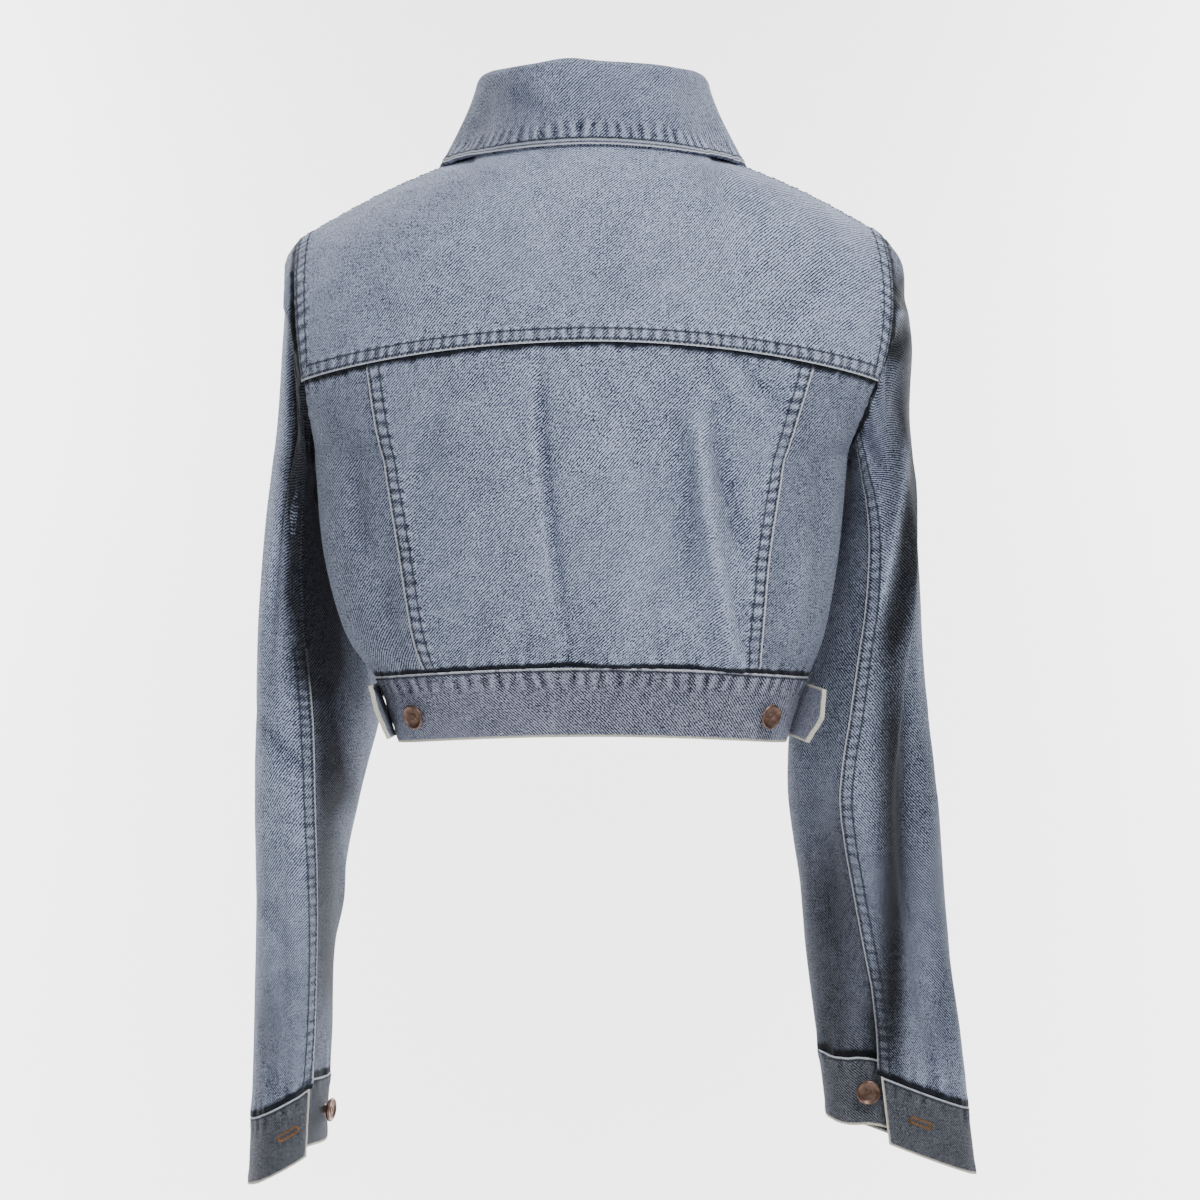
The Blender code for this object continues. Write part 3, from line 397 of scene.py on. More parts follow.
def tab_grid(side, lift):
    """A pointed strap, sewn at the side of the waistband and standing free toward the back."""
    rows = []
    for drop in steps(0.10, 0.90, 4):
        base, normal = waistband_point(False, side * TAB_PLACE, drop)
        nose = TAB_LENGTH - TAB_NOSE * abs(drop - 0.5) / 0.40
        runs = [nose * along for along in steps(0, 1, 5)]
        rows.append([base + normal * (lift + TAB_SPREAD[side] * run) + np.array([0, run, 0]) for run in runs])
    return np.array(rows)


def neck_seam(around):
    """The neck seam, from 0 at the centre back to 1 at the collar's front end."""
    if around <= 0.5:
        return top_line(around / 0.5 * NECK_SHARE, *NECK_BACK)
    front_end = math.asin(COLLAR_END_X / NECK_HALF_WIDTH) / (math.pi / 2) * NECK_SHARE
    share = NECK_SHARE + (front_end - NECK_SHARE) * (around - 0.5) / 0.5
    return top_line(share, *NECK_FRONT)


def armhole_ring(side):
    """The armhole's edge as sewn, from the shoulder down the back, under the arm and up the front."""
    levels = steps(0, TOP_LEVEL, TOP_LEVEL * LEVEL_STEPS)[UNDERARM_LEVEL * LEVEL_STEPS :]
    levels += steps(TOP_LEVEL, TOP_LEVEL + 1, TOP_STEPS)[1:]
    back = [back_plain(side, level) for level in reversed(levels)]
    front = [front_plain(side, level) for level in levels]
    return np.array(back + front[1:-1])


def sleeve_ring(side, place):
    """A ring of points around the sleeve at a place counted in its table's rows."""
    get = SLEEVES[side].row(place)
    outer = np.array([get["x_out"], 0, get["z_out"]])
    inner = np.array([get["x_in"], 0, get["z_in"]])
    middle = (outer + inner) / 2 + np.array([0, get["y_mid"], 0])
    wide_axis = unit(outer - inner)
    deep_axis = np.array([0.0, 1.0, 0.0])
    lean = math.radians(get["lean"])
    half_extent = np.linalg.norm(outer - inner) / 2
    leaning = get["half_depth"] * math.sin(lean)
    half_width = math.sqrt(max(half_extent**2 - leaning**2, LEAST_HALF_WIDTH**2)) / math.cos(lean)
    across = wide_axis * math.cos(lean) - deep_axis * math.sin(lean)
    back = deep_axis * math.cos(lean) + wide_axis * math.sin(lean)
    ring = []
    for step in range(RING):
        angle = math.radians(360 / RING * step + get["twist"])
        point = middle + across * half_width * math.cos(angle) + back * get["half_depth"] * math.sin(angle)
        ring.append(point * np.array([side, 1, 1]))
    return np.array(ring)


def sleeve_fold(side, place, step):
    """How far the sleeve's folds move the cloth out at this place and ring step."""
    total = 0.0
    for start, end, step_start, step_end, reach, depth in SLEEVE_FOLDS[side].values:
        along = (place - start) / (end - start)
        if not -0.15 < along < 1.15:
            continue
        fade = smooth(min((along + 0.15) / 0.45, (1.15 - along) / 0.45))
        away = (step - (step_start + (step_end - step_start) * along) + RING / 2) % RING - RING / 2
        total += depth * fade * math.exp(-((away / reach) ** 2))
    return total


def body_reach(side, y, z):
    """How far from the centre line the body's outside lies at this depth and height."""
    low_enough = halve(lambda level: BACK.at("z_edge", level) < z, float(UNDERARM_LEVEL), 20)
    level = sum(low_enough) / 2
    table = BACK if y > BACK.at("y_edge", level) else FRONT
    edge = table.at("y_edge", level)
    turn, exponent = rounding(table, level)
    edge_cos = power(math.cos(turn), exponent)
    along = (y - edge) / (table.at("y_mid", level) - edge)
    if along >= 1:
        return 0.0
    angle = math.acos(min(max(power(along * (1 - edge_cos) + edge_cos, 1 / exponent), -1), 1))
    across = power(math.sin(angle), exponent) / power(math.sin(turn), exponent)
    return table.at("x_left" if side > 0 else "x_right", level) * across


def keep_clear(side, point):
    """Moves a sleeve point out until it is clear of the body that it rests against."""
    underarm, bottom = BACK.at("z_edge", UNDERARM_LEVEL), WAIST_BACK.at("z_edge", 1) - 0.01
    if not bottom < point[2] < underarm + SCYE_CLEAR:
        return point
    least = body_reach(side, point[1], max(point[2], BACK.at("z_edge", 0))) + CLEAR_OF_BODY
    least += EASE_OFF_BODY * smooth((underarm - point[2]) / 0.02)
    moved = point.copy()
    moved[0] = side * max(side * point[0], least)
    return moved


def ring_normals(rings):
    """Normals of a tube given as rings, away from its inside."""
    around = np.roll(rings, -1, axis=1) - np.roll(rings, 1, axis=1)
    along = np.gradient(rings, axis=0)
    normals = directions(np.cross(around, along))
    middle = rings.mean(axis=1, keepdims=True)
    facing = (normals * (rings - middle)).sum(axis=2).mean()
    return normals if facing > 0 else -normals


def sleeve_rings(side):
    """(outside, inside) rings of the whole tube, the first at the armhole and the last at the wrist."""
    armhole = armhole_ring(side) + np.array([side * SEAM_GAP * 2, 0, 0])
    places = steps(0, SLEEVES[side].last, SLEEVES[side].last * SLEEVE_STEPS)
    found = [sleeve_ring(side, place) for place in places]
    rings = np.array([armhole, (armhole + found[0]) / 2] + found)
    normals = ring_normals(rings)
    for step in range(RING):
        over_top = max(math.cos(2 * math.pi * step / RING), 0)
        rings[1, step] += normals[1, step] * CROWN_ROUND * over_top
    for index, place in enumerate(places, start=2):
        for step in range(RING):
            rings[index, step] += normals[index, step] * sleeve_fold(side, place, step)
    for row in rings[1:]:
        row[:] = [keep_clear(side, point) for point in row]
    normals = ring_normals(rings)
    centre = armhole.mean(axis=0)
    radial = armhole - centre
    radial[:, 0] = 0
    normals[0] = directions(radial)
    return rings, rings - normals * BODY_WALL, normals


def slit_drop(rings, row):
    """1 at the wrist, 0 where the slit above the cuff ends."""
    height = np.linalg.norm(rings[row, BACK_SEAM] - rings[-1, BACK_SEAM])
    return smooth(1 - height / SLIT_LENGTH)


def lap_of(step):
    """How far inside the underlap lies at this ring step, as a share of its depth."""
    return smooth((BACK_SEAM + 3 - step) / 3)


def lap_shift(side, grids, row, step):
    """How an open lap moves the cloth of the under side: inward, and up the arm."""
    rings, _, normals = grids
    share = lap_of(step) * slit_drop(rings, row)
    inward = ring_at(normals[row], step) * -CUFF_LAP_DEPTH
    return share * (inward - cuff_axis(rings) * CUFF_LAP_RISE[side])


def ring_at(ring, step):
    """A point between two ring steps."""
    low = math.floor(step)
    share = step - low
    return ring[low % RING] * (1 - share) + ring[(low + 1) % RING] * share


def cuff_axis(rings):
    return unit(rings[-1].mean(axis=0) - rings[-3].mean(axis=0))


def cuff_point(side, grids, step, drop, depth):
    """A point of the cuff: drop runs down its height, depth goes into its wall."""
    rings, _, normals = grids
    normal = unit(ring_at(normals[-1], step))
    down = cuff_axis(rings) * (SEAM_GAP + CUFF_HEIGHT * drop)
    lapped = lap_shift(side, grids, len(rings) - 1, step + RING)
    return ring_at(rings[-1], step) + down + lapped - normal * depth


def front_level(height):
    """The level at which the centre front reaches this height."""
    return halve(lambda level: front_plain(0.0, level)[2] < height, TOP_LEVEL + 1.0)[0]


def waistband_share(x):
    """The share at which the back of the waistband lies x away from the centre line."""
    return halve(lambda share: section(WAIST_BACK, share, 0.6)[0] < x, 1.0)[0]


# ---------------------------------------------------------------- fine grids


def spline(values, count):
    """Catmull-Rom along the first axis, sampled evenly count times."""
    padded = np.concatenate([2 * values[:1] - values[1:2], values, 2 * values[-1:] - values[-2:-1]])
    place = np.linspace(0, len(values) - 1, count)
    row = np.minimum(place.astype(int), len(values) - 2)
    t = (place - row).reshape((-1,) + (1,) * (values.ndim - 1))
    return curve(*(padded[row + k] for k in range(4)), t)


def flipped(grid):
    """The same grid with its rows and columns exchanged."""
    return grid.transpose(1, 0, 2)


def point_gaps(grid, axis):
    """Distances between neighbouring points."""
    return np.linalg.norm(np.diff(grid, axis=axis), axis=2)


def fine(spacing, *layers):
    """The same layers with their points about this far apart."""
    lengths = [point_gaps(layers[0], axis).sum(axis=axis).mean() for axis in (0, 1)]
    rows, columns = (max(int(length / spacing), 4) + 1 for length in lengths)
    return [flipped(spline(flipped(spline(grid, rows)), columns)) for grid in layers]


def grid_normals(grid):
    return directions(np.cross(np.gradient(grid, axis=1), np.gradient(grid, axis=0)))


def edge_distances(grid):
    """Distance of each point from the four edges of its grid, measured on the cloth."""
    top, left = (np.cumsum(point_gaps(grid, axis), axis=axis) for axis in (0, 1))
    top = np.concatenate([np.zeros((1, grid.shape[1])), top])
    left = np.concatenate([np.zeros((grid.shape[0], 1)), left], axis=1)
    return {
        "first_row": top,
        "last_row": top[-1:] - top,
        "first_column": left,
        "last_column": left[:, -1:] - left,
    }


def run_beside(away, side):
    """How far along one edge each point of the grid lies."""
    if "row" in side:
        edge = away["first_column"][0 if side == "first_row" else -1]
        return edge[None, :] + np.zeros_like(away[side])
    edge = away["first_row"][:, 0 if side == "first_column" else -1]
    return edge[:, None] + np.zeros_like(away[side])


def bump(distance, reach):
    return np.exp(-((distance / reach) ** 2))


def waver(run, seed):
    """An uneven wave of about one unit's height, for puckers that never repeat."""
    waves = ((8.3, 1.0), (11.9, 0.7), (5.7, 0.45), (19.0, 0.6))  # length in millimetres, height
    return sum(high * np.sin(2000 * math.pi * run / long + seed * (2.1 + long)) for long, high in waves) / 1.7


# ---------------------------------------------------------------- folds placed one by one


# Folds of the body, on the back and then the front: x and z of both ends, sideways bow, half width,
# height (inward if negative) and how much steeper one flank is.
CREASE_COLUMNS = "x_start z_start x_end z_end bow reach height skew"
BACK_CREASES = Table(CREASE_COLUMNS, """
    centre_edge      34.5 -128   15 -324  3 3.4 -4.2    0
    centre_lip       40.5 -130 21.5 -318  3 4.8  3.4    0
    centre_soft       -12 -170  -26 -318 -4  11  1.8    0
    ridge             -66 -165  -91 -326  4   5  5.6    0
    ridge_shade       -52 -165  -60 -290 -3   7   -4    0
    ridge_valley      -77 -165 -100 -268  3   6   -5    0
    ridge_valley_low  -84 -250  -98 -322  2   4 -2.2    0
    under_yoke_1      -68 -130 -104 -176  4 5.5 -2.6  0.6
    under_yoke_2      -88 -128 -128 -168  4   5 -2.8 -0.5
    under_yoke_3      -40 -128  -70 -160  3   6 -1.4    0
    under_yoke_4       60 -128   86 -165 -3   6 -1.4  0.4
    blade_left         90 -140  112 -230  4   9 -1.8    0
    blade_left_lip    100 -150  122 -215  2   6  1.4    0
    waist_1            78 -324   72 -284  2 4.5 -2.2  0.4
    waist_2            58 -324   54 -296  1   4  1.8    0
    waist_3            44 -326   42 -292  2 4.5 -1.8 -0.4
    waist_4             4 -326    6 -296  1   4 -1.6    0
    waist_5           -20 -326  -16 -286  2 4.5  1.8  0.3
    waist_6           -42 -326  -40 -296  1   4   -2    0
    waist_7           -74 -325  -70 -298  1   4 -1.8    0
    waist_8          -100 -324  -98 -288  2 4.5 -2.2  0.3
    side_left_1       150 -200  140 -262  5   7 -2.9  0.5
    side_left_2       134 -270  120 -322  3   6 -2.2    0
    side_right_1     -146 -190 -142 -255 -5   7 -2.9  0.5
    side_right_2     -134 -250 -122 -320 -3   6  2.5    0
    yoke_blade_left   150  -60  120 -116  6  10 -1.8    0
    yoke_blade_right -154  -64 -118 -112 -6   9   -2  0.3
    yoke_neck_left     62  -10  112  -40  5  10 -1.4    0
    yoke_neck_right   -60  -12 -116  -44 -5  10 -1.6    0
    yoke_centre        -6  -40  -22 -106  4  12 -1.1    0
""")
FRONT_CREASES = Table(CREASE_COLUMNS, """
    bust_left_1     150 -150   90 -200  6 8 -2.5 0.4
    bust_left_2     152 -176  104 -214  4 6  1.8   0
    bust_left_3     150 -110  116 -160  4 7   -2   0
    bust_right_1   -148 -152  -86 -196 -6 8 -2.5 0.4
    bust_right_2   -150 -182 -110 -222 -4 6  1.8   0
    bust_right_3   -150 -112 -120 -156 -4 7   -2   0
    blouse_left_1    70 -330   62 -262  3 6 -2.7 0.4
    blouse_left_2   104 -330  100 -280  3 6  2.2   0
    blouse_left_3    42 -332   38 -286  2 5   -2   0
    blouse_left_4   126 -328  128 -270  3 6 -2.3   0
    blouse_right_1  -66 -330  -60 -270 -3 6 -2.5 0.4
    blouse_right_2  -98 -330  -92 -284 -3 6  2.2   0
    blouse_right_3  -40 -332  -36 -290 -2 5   -2   0
    blouse_right_4 -122 -328 -126 -268 -3 6 -2.3   0
""")

# Folds of the sleeves: section and ring step of both ends, bow in ring steps, half width and height,
# and how much steeper one flank is.
SLEEVE_CREASE_COLUMNS = "place_start step_start place_end step_end bow_steps reach height skew"
SLEEVE_CREASES = {
    1: Table(SLEEVE_CREASE_COLUMNS, """
    crest   -0.6  3.3  5.2  3.7 0.3   9  4.7  0.5
    valley  -0.6  5.2    5  5.4 0.2   9 -7.2 -0.4
    outer_1  1.2  1.2    3  2.4 0.4   7 -2.2  0.4
    outer_2    3  0.6    5  2.2 0.4   8 -2.3    0
    elbow_1  4.9  2.6  5.7  7.4 0.3   7   -4  0.6
    elbow_2  5.5  2.4  6.2  7.6 0.4   7  3.6    0
    elbow_3    6    3  6.8    8 0.3 6.5   -4 -0.5
    elbow_4  4.4  5.4    5  8.6 0.3 6.5  3.2    0
    lower_1    7  2.8  8.4  6.6 0.4   8 -3.2  0.5
    lower_2  7.6  2.2    9  5.4 0.4   7  2.7    0
    lower_3  8.6    2  9.8  4.6 0.3   6 -2.7  0.3
    wrist_1    9  5.6 10.2  6.2 0.2   6 -2.9    0
    wrist_2  9.2  3.4 10.2  3.6 0.2 5.5  2.2    0
    inner_1    2  9.4    4 10.6 0.4   8 -3.2    0
    inner_2  4.4  9.6    6 12.2 0.4   8   -4  0.4
    inner_3    6  9.4  7.6 12.4 0.4   8  3.2    0
    front_1  1.6 20.5  3.2 18.6 0.5   8 -3.2  0.4
    front_2  4.2 21.4  5.4 17.6 0.4 7.5 -4.3  0.5
    front_3    5 21.6  6.2 17.4 0.4   7  3.2    0
    front_4  5.8 21.2    7 17.8 0.4   7   -4 -0.4
    front_5    8 21.4  9.4 18.8 0.4 7.5 -2.9    0
"""),
    -1: Table(SLEEVE_CREASE_COLUMNS, """
    cap_hollow    -0.4  3.6  1.2    5 0.3   9 -6.1  0.4
    cap_ridge      0.9  3.2  1.5  5.8 0.3   5  4.7    0
    second_hollow  1.2  4.2  2.6  5.4 0.3   8 -5.4    0
    flap_edge      1.8  5.2  4.8    7 0.3   6  5.4  0.8
    flap_shade     2.2  4.4    5    6 0.3   8 -5.4 -0.4
    outer_1        2.2  1.4  4.2  2.8 0.4 7.5 -2.5  0.4
    outer_2        4.4  0.8  6.2  2.6 0.4   8 -2.5    0
    elbow_1        4.8  1.6  5.6  4.2 0.3 6.5  3.6  0.3
    elbow_2        5.6  1.2  6.4    4 0.3 6.5 -3.6    0
    lower_crest    7.2  3.6 10.1  4.4 0.2 5.5    4  0.5
    lower_1        7.4  1.4    9    3 0.3   7 -2.9  0.4
    wrist_1        8.8  1.6 10.2  2.2 0.2 5.5 -2.5    0
    inner_1        3.4  8.8  5.4 10.2 0.4   8 -4.3  0.4
    inner_2        4.6    8  6.6  9.2 0.3   7  3.6    0
    inner_3          6  8.6  7.8 10.4 0.4   8 -4.3    0
    inner_4        7.6  8.2  9.6  9.4 0.3 6.5  2.9    0
    front_1        1.6 20.5  3.2 18.6 0.5   8 -3.2  0.4
    front_2          4 21.4  5.2 17.6 0.4 7.5 -4.3  0.5
    front_3        4.9 21.6  6.1 17.4 0.4   7  3.2    0
    front_4        5.8 21.2    7 17.8 0.4   7   -4 -0.4
    front_5          8 21.4  9.4 18.8 0.4 7.5 -2.9    0
"""),
}

# Folds of the hanging sleeves where they face the back, by x and z. Below them, their painted shade
# (negative) and painted highlight (positive), as a share of the way to either.
SLEEVE_BACK_FOLDS = {
    1: Table(CREASE_COLUMNS, """
    crest_top  197.5  -50   202 -190 0 3.2  2.6   0
    crest_low  202.5 -180   208 -340 0 3.6    3   0
    valley_top   191  -60 194.5 -200 0   5   -8   0
    valley_low 194.5 -190   190 -380 3 7.5   -9   0
    bend_1       218 -370   176 -402 4   6   -3 0.3
    bend_2       224 -430   186 -448 3   7  2.6   0
    bend_3       222 -480   190 -520 4   7 -2.8 0.3
    wrist        220 -560   206 -640 3   6 -2.6   0
"""),
    -1: Table(CREASE_COLUMNS, """
    cap_hollow      -189  -94   -210  -82  2   7  -6 0
    cap_ridge       -207  -96   -190 -108  1 3.6   4 0
    second_hollow   -188 -122   -208 -112  2   6  -5 0
    flap          -207.5 -168 -183.5 -312 -3 4.2 5.6 0
    under_flap      -211 -215   -196 -330 -2 8.5 -10 0
    long_valley     -196 -310   -198 -620 -4  10  -9 0
    low_crest       -207 -500   -212 -625  0   5 4.6 0
    outer_fold      -226 -300   -218 -420 -3   8  -3 0
    low_fold        -240 -520   -228 -610 -2   7  -3 0
    armpit          -172 -160   -190 -205  2   4  -3 0
"""),
}
PAINTED_LIGHT_COLUMNS = "x_start z_start x_end z_end bow reach share skew"
SLEEVE_PAINTED_LIGHT = {
    1: Table(PAINTED_LIGHT_COLUMNS, """
    strip         203  -60   213 -320 2  4.6 0.26 0
    valley_top  188.5  -50 189.5 -205 0  7.8 -1.5 0
    valley_mid  190.5 -180 189.5 -290 1 11.5 -1.5 0
    valley_wide   189 -265   182 -350 0 17.5 -1.2 0
    valley_end    179 -340   170 -430 0   12 -0.6 0
    valley_body   176 -400   176 -580 3    9 -0.5 0
    low_shade     206 -520   218 -660 3   24 -0.3 0
"""),
    -1: Table(PAINTED_LIGHT_COLUMNS, """
    cap_hollow      -188  -94   -212  -80  2  9.5  -0.6 0
    cap_ridge       -207  -96   -190 -108  1    3   0.4 0
    second_hollow   -186 -122   -212 -114  2  9.5 -0.46 0
    outer_edge      -212 -130   -220 -300  2   15  -0.4 0
    flap          -207.5 -168 -183.5 -312 -3  3.6  0.42 0
    under_flap      -210 -205   -197 -330 -2   12 -0.66 0
    long_valley     -196 -290   -198 -640 -4 12.5 -0.78 0
    inner_low       -158 -420   -166 -660  2   24 -0.34 0
    outer_shade     -224 -320   -240 -640 -4   22 -0.32 0
    cap_shade       -206  -40   -212 -230  0   26  -0.6 0
"""),
}


def crease_height(table, across, down, unit_across=1.0, unit_down=1.0, period=None):
    """Heights of all the folds of a table over two fields of places. A unit is one step in metres."""
    total = np.zeros_like(across)
    for x0, z0, x1, z1, bow, reach, height, skew in table.values:
        run = np.array([(x1 - x0) * unit_across, (z1 - z0) * unit_down])
        length = np.linalg.norm(run)
        run /= length
        away = down - z0
        if period:
            away = (away + period / 2) % period - period / 2
        px, pz = (across - x0) * unit_across, away * unit_down
        along = (px * run[0] + pz * run[1]) / length
        side = -px * run[1] + pz * run[0] - bow * unit_down * np.sin(math.pi * np.clip(along, 0, 1))
        fade = np.clip(np.minimum(along + 0.12, 1.12 - along) / 0.4, 0, 1)
        fade = fade * fade * (3 - 2 * fade)
        a = side / reach
        total += height * fade * np.exp(-(a**2)) * (1 + skew * np.clip(a, -1.5, 1.5))
    return total


# ---------------------------------------------------------------- cloth


# How each edge of a piece is sewn: how far the cloth stands up there, how wide the raised band is,
# where its stitch rows lie, how deep its puckers are, how far in they are deepest and how far they reach,
# how far it lies over its neighbour, and how worn its edge is.
SEWN = Table("lift band row_1 row_2 pucker centre reach over worn", """
    felled   1   8 0.8 7.3  0.4 4.5   6 1.4   0
    arm    0.6 9.2 2.2 8.7  0.4 5.4   6   0 1.8
    hem    0.4   6   0   0  0.2   3   6   0   0
    lap    0.4   6 1.9   0  0.3   6   8   0   0
    plies  0.4   6 4.2   0  0.3   6   8   0   0
    under    0   0   0   0  0.6   2 8.5   0   0
    seam     0   0   0   0 0.25   2   6   0   0
""")


def sewn(kind):
    return SEWN.row(SEWN.rows.index(kind))


def sewn_edges(kinds, side=1):
    """How a piece is sewn at its lowest row, its highest row and its first and last columns. On the
    wearer's right the columns change places."""
    columns = ("first_column", "last_column")[::side]
    names = ("first_row", "last_row", *columns)
    return {name: kind for name, kind in zip(names, kinds.split()) if kind != "free"}


FINISHED = {}  # outside grid, its normals and its edge distances, by piece
EDGES = {}  # how the edges of each finished piece are sewn


# Each edge of a grid, and the row or column beside it.
RIMS = {
    "first_row": (0, 1),
    "last_row": (-1, -2),
    "first_column": (np.s_[:, 0], np.s_[:, 1]),
    "last_column": (np.s_[:, -1], np.s_[:, -2]),
}
HEM_WALL = 0.0008  # thickness of the turned edge of a felled seam


def lengthen(grid, side, distance):
    """Carries one edge of a grid on along its own lines."""
    rim, beside = RIMS[side]
    moved = grid.copy()
    moved[rim] += distance * directions(grid[rim] - grid[beside])
    return moved


def soft_step(value):
    """smooth() for whole fields."""
    value = np.clip(value, 0, 1)
    return value * value * (3 - 2 * value)


def away_from(inside, outside):
    """Normals of the outer grid, pointing away from the inner one."""
    out = grid_normals(outside)
    return out if ((outside - inside) * out).sum() > 0 else -out


FAR = 0.05  # an edge this far off leaves no mark on the cloth
BAND_FADE = 0.003  # a raised band fades out over this length
STIFF_SHARE = 0.35  # share of the folds left at a sewn edge
STIFF_REACH = 0.012  # and how far in the stiffness reaches
JOIN_SHY = 0.0010  # the shadow of a plain seam starts this far off it
UNDER_SHY = 0.0016  # more of it where a piece faces the front
UNDER_FADE = 0.007  # a band runs out this far before it dives under its neighbour
TURNED_IN = 0.4  # share of a raised band that shows inside
WEAR = 0.40  # tone of plain cloth, from dyed to worn
FOLD_WEAR_AND_SHADE = (58, -0.34, 0.34)  # wear and painted shade for each metre of fold, and its least and most
# The same for puckers: paler on their ridges and darker in their hollows, partly wear and partly painted
# shade.
PUCKER_WEAR_AND_SHADE = (480, -0.50, 0.34)


def make_cloth(
    name, outside, inside, edges, folds=0.0, shade=0.0, seed=1.0, finish="washed_denim",
    quiet=0.0, gathers=0.0, push=None,
):
    """A piece of cloth between two fine grids, with its sewn edges and folds pressed into it. push is the
    way that the folds are pressed, outward from the cloth if it isn't given."""
    out = away_from(inside, outside)
    away = edge_distances(outside)
    shape = outside.shape[:2]
    lift, ruffle = np.zeros(shape), np.zeros(shape)
    crease, hold = np.zeros(shape) + folds, np.ones(shape)
    fields = {key: np.full(shape, FAR) for key in ("edge", "hem", "tucked")}
    fields["run"] = np.zeros(shape)
    for index, (side, kind) in enumerate(edges.items()):
        sewing = sewn(kind)
        d, run = away[side], run_beside(away, side)
        lift = np.maximum(lift, sewing["lift"] * (1 - soft_step((d - sewing["band"]) / BAND_FADE)))
        wave = waver(run, seed + index * 1.7)
        ruffle += sewing["pucker"] * wave * bump(d - sewing["centre"], sewing["reach"])
        hold *= STIFF_SHARE + (1 - STIFF_SHARE) * soft_step(d / STIFF_REACH)
        key = {"under": "tucked", "seam": "tucked", "hem": "hem"}.get(kind, "edge")
        if key == "edge":
            fields["run"] = np.where(d < fields["edge"], run, fields["run"])
        from_rim = np.maximum(d + sewing["over"] * (d > 0), sewing["worn"])
        if kind == "seam":
            from_rim = d * 2.0 + JOIN_SHY
        elif kind == "under":
            from_rim = from_rim + (from_rim + UNDER_SHY) * soft_step(-out[..., 1] * 2)
            if side == "first_row":
                from_rim = from_rim * 1.4
        fields[key] = np.minimum(fields[key], from_rim)
    for side, kind in edges.items():
        if kind == "under":
            lift = lift * soft_step(away[side] / UNDER_FADE)
    fields["edge"] = np.clip(fields["edge"] + quiet, 0, FAR)
    ruffle += gathers
    fold = (crease * hold)[..., None] * (out if push is None else push)
    rise = (ruffle + lift)[..., None]
    outside = outside + fold + out * rise
    inside = inside + fold + out * (rise - lift[..., None] * TURNED_IN)
    for side, kind in edges.items():
        over = sewn(kind)["over"]
        if over:
            outside, inside = (lengthen(grid, side, over) for grid in (outside, inside))
            rim = RIMS[side][0]
            inside[rim] = outside[rim] - out[rim] * HEM_WALL
    FINISHED[name] = (outside, out, away)
    EDGES[name] = edges
    middle = shape[1] // 2
    u = away["first_column"] - away["first_column"][:, middle : middle + 1]
    if finish in ("trim_denim", "cuff_denim"):
        u = u.mean(axis=0, keepdims=True) + np.zeros_like(u)
    v = away["first_row"].mean(axis=1, keepdims=True) + np.zeros_like(u)
    # Plain tone, then folds and puckers painted paler on their ridges and darker in their valleys: partly
    # wear, partly painted shade.
    fields["worn"] = np.full(shape, WEAR)
    for field, (more, least, most) in ((crease, FOLD_WEAR_AND_SHADE), (ruffle, PUCKER_WEAR_AND_SHADE)):
        fields["worn"] = fields["worn"] + np.clip(field * more, least, most)
    # Painted shade where negative and painted highlight where positive, at each point of the piece.
    fields["painted_light"] = np.zeros(shape) + shade
    return solid_between(name, outside, inside, np.stack([u, v], axis=-1), fields, finish)


def placed(name, data):
    """A new object in the scene for this mesh, light or camera."""
    made = bpy.data.objects.new(name, data)
    bpy.context.scene.collection.objects.link(made)
    return made


def solid_between(name, outside, inside, uv, fields, finish):
    """A closed wall between two grids, with its flat pattern, its wear and its painted shade as attributes.
    """
    rows, columns = outside.shape[:2]
    count = rows * columns
    points = np.concatenate([outside.reshape(-1, 3), inside.reshape(-1, 3)])
    index = np.arange(count).reshape(rows, columns)
    quads = np.stack([index[:-1, :-1], index[:-1, 1:], index[1:, 1:], index[1:, :-1]], -1).reshape(-1, 4)
    loop = np.concatenate([index[0, :-1], index[:-1, -1], index[-1, :0:-1], index[:0:-1, 0]])
    after = np.roll(loop, -1)
    rim = np.stack([loop, loop + count, after + count, after], -1)
    faces = np.concatenate([quads, quads[:, ::-1] + count, rim])
    a, b, c, d = (points[faces[:, corner]] for corner in range(4))
    volume = (a * np.cross(b, c)).sum() + (a * np.cross(c, d)).sum()
    if volume < 0:
        faces = faces[:, ::-1]
    mesh = bpy.data.meshes.new(name)
    mesh.from_pydata(points.tolist(), [], faces.tolist())
    layer = mesh.uv_layers.new(name="cloth")
    flat = np.concatenate([uv.reshape(-1, 2)] * 2)[faces.reshape(-1)]
    layer.data.foreach_set("uv", flat.astype(np.float32).reshape(-1))
    for key, field in fields.items():
        attribute = mesh.attributes.new(key, "FLOAT", "POINT")
        values = np.concatenate([field.reshape(-1)] * 2)
        if key in ("edge", "tucked"):
            values[count:] = FAR
        attribute.data.foreach_set("value", values.astype(np.float32))
    mesh.shade_smooth()
    mesh.set_sharp_from_angle(angle=math.radians(60))
    mesh.update()
    mesh.materials.append(finished(finish))
    return placed(name, mesh)


def row_inside(piece, side, distance, lift=0.0):
    """A line on a finished piece that runs beside one of its edges at this distance."""
    outside, out, away = FINISHED[piece]
    field = away[side]
    if "column" in side:
        outside, out, field = flipped(outside), flipped(out), field.T
    if side.startswith("last"):
        outside, out, field = outside[::-1], out[::-1], field[::-1]
    line = []
    for column in range(outside.shape[1]):
        place = np.interp(distance, field[:, column], np.arange(len(field)))
        low = min(int(place), len(field) - 2)
        share = place - low
        point = outside[low, column] * (1 - share) + outside[low + 1, column] * share
        normal = out[low, column] * (1 - share) + out[low + 1, column] * share
        line.append(point + unit(normal) * lift)
    return np.array(line)


# ---------------------------------------------------------------- finishes


def feed(tree, socket, value):
    """Links a socket, or a node's first output, to an input, or gives the input its value."""
    if isinstance(value, bpy.types.Node):
        value = value.outputs[0]
    if isinstance(value, bpy.types.NodeSocket):
        tree.links.new(value, socket)
    else:
        socket.default_value = value


def add_node(tree, kind, inputs=(), **settings):
    node = tree.nodes.new(kind)
    for key, value in settings.items():
        setattr(node, key, value)
    for key, value in dict(inputs).items():
        feed(tree, node.inputs[key], value)
    return node


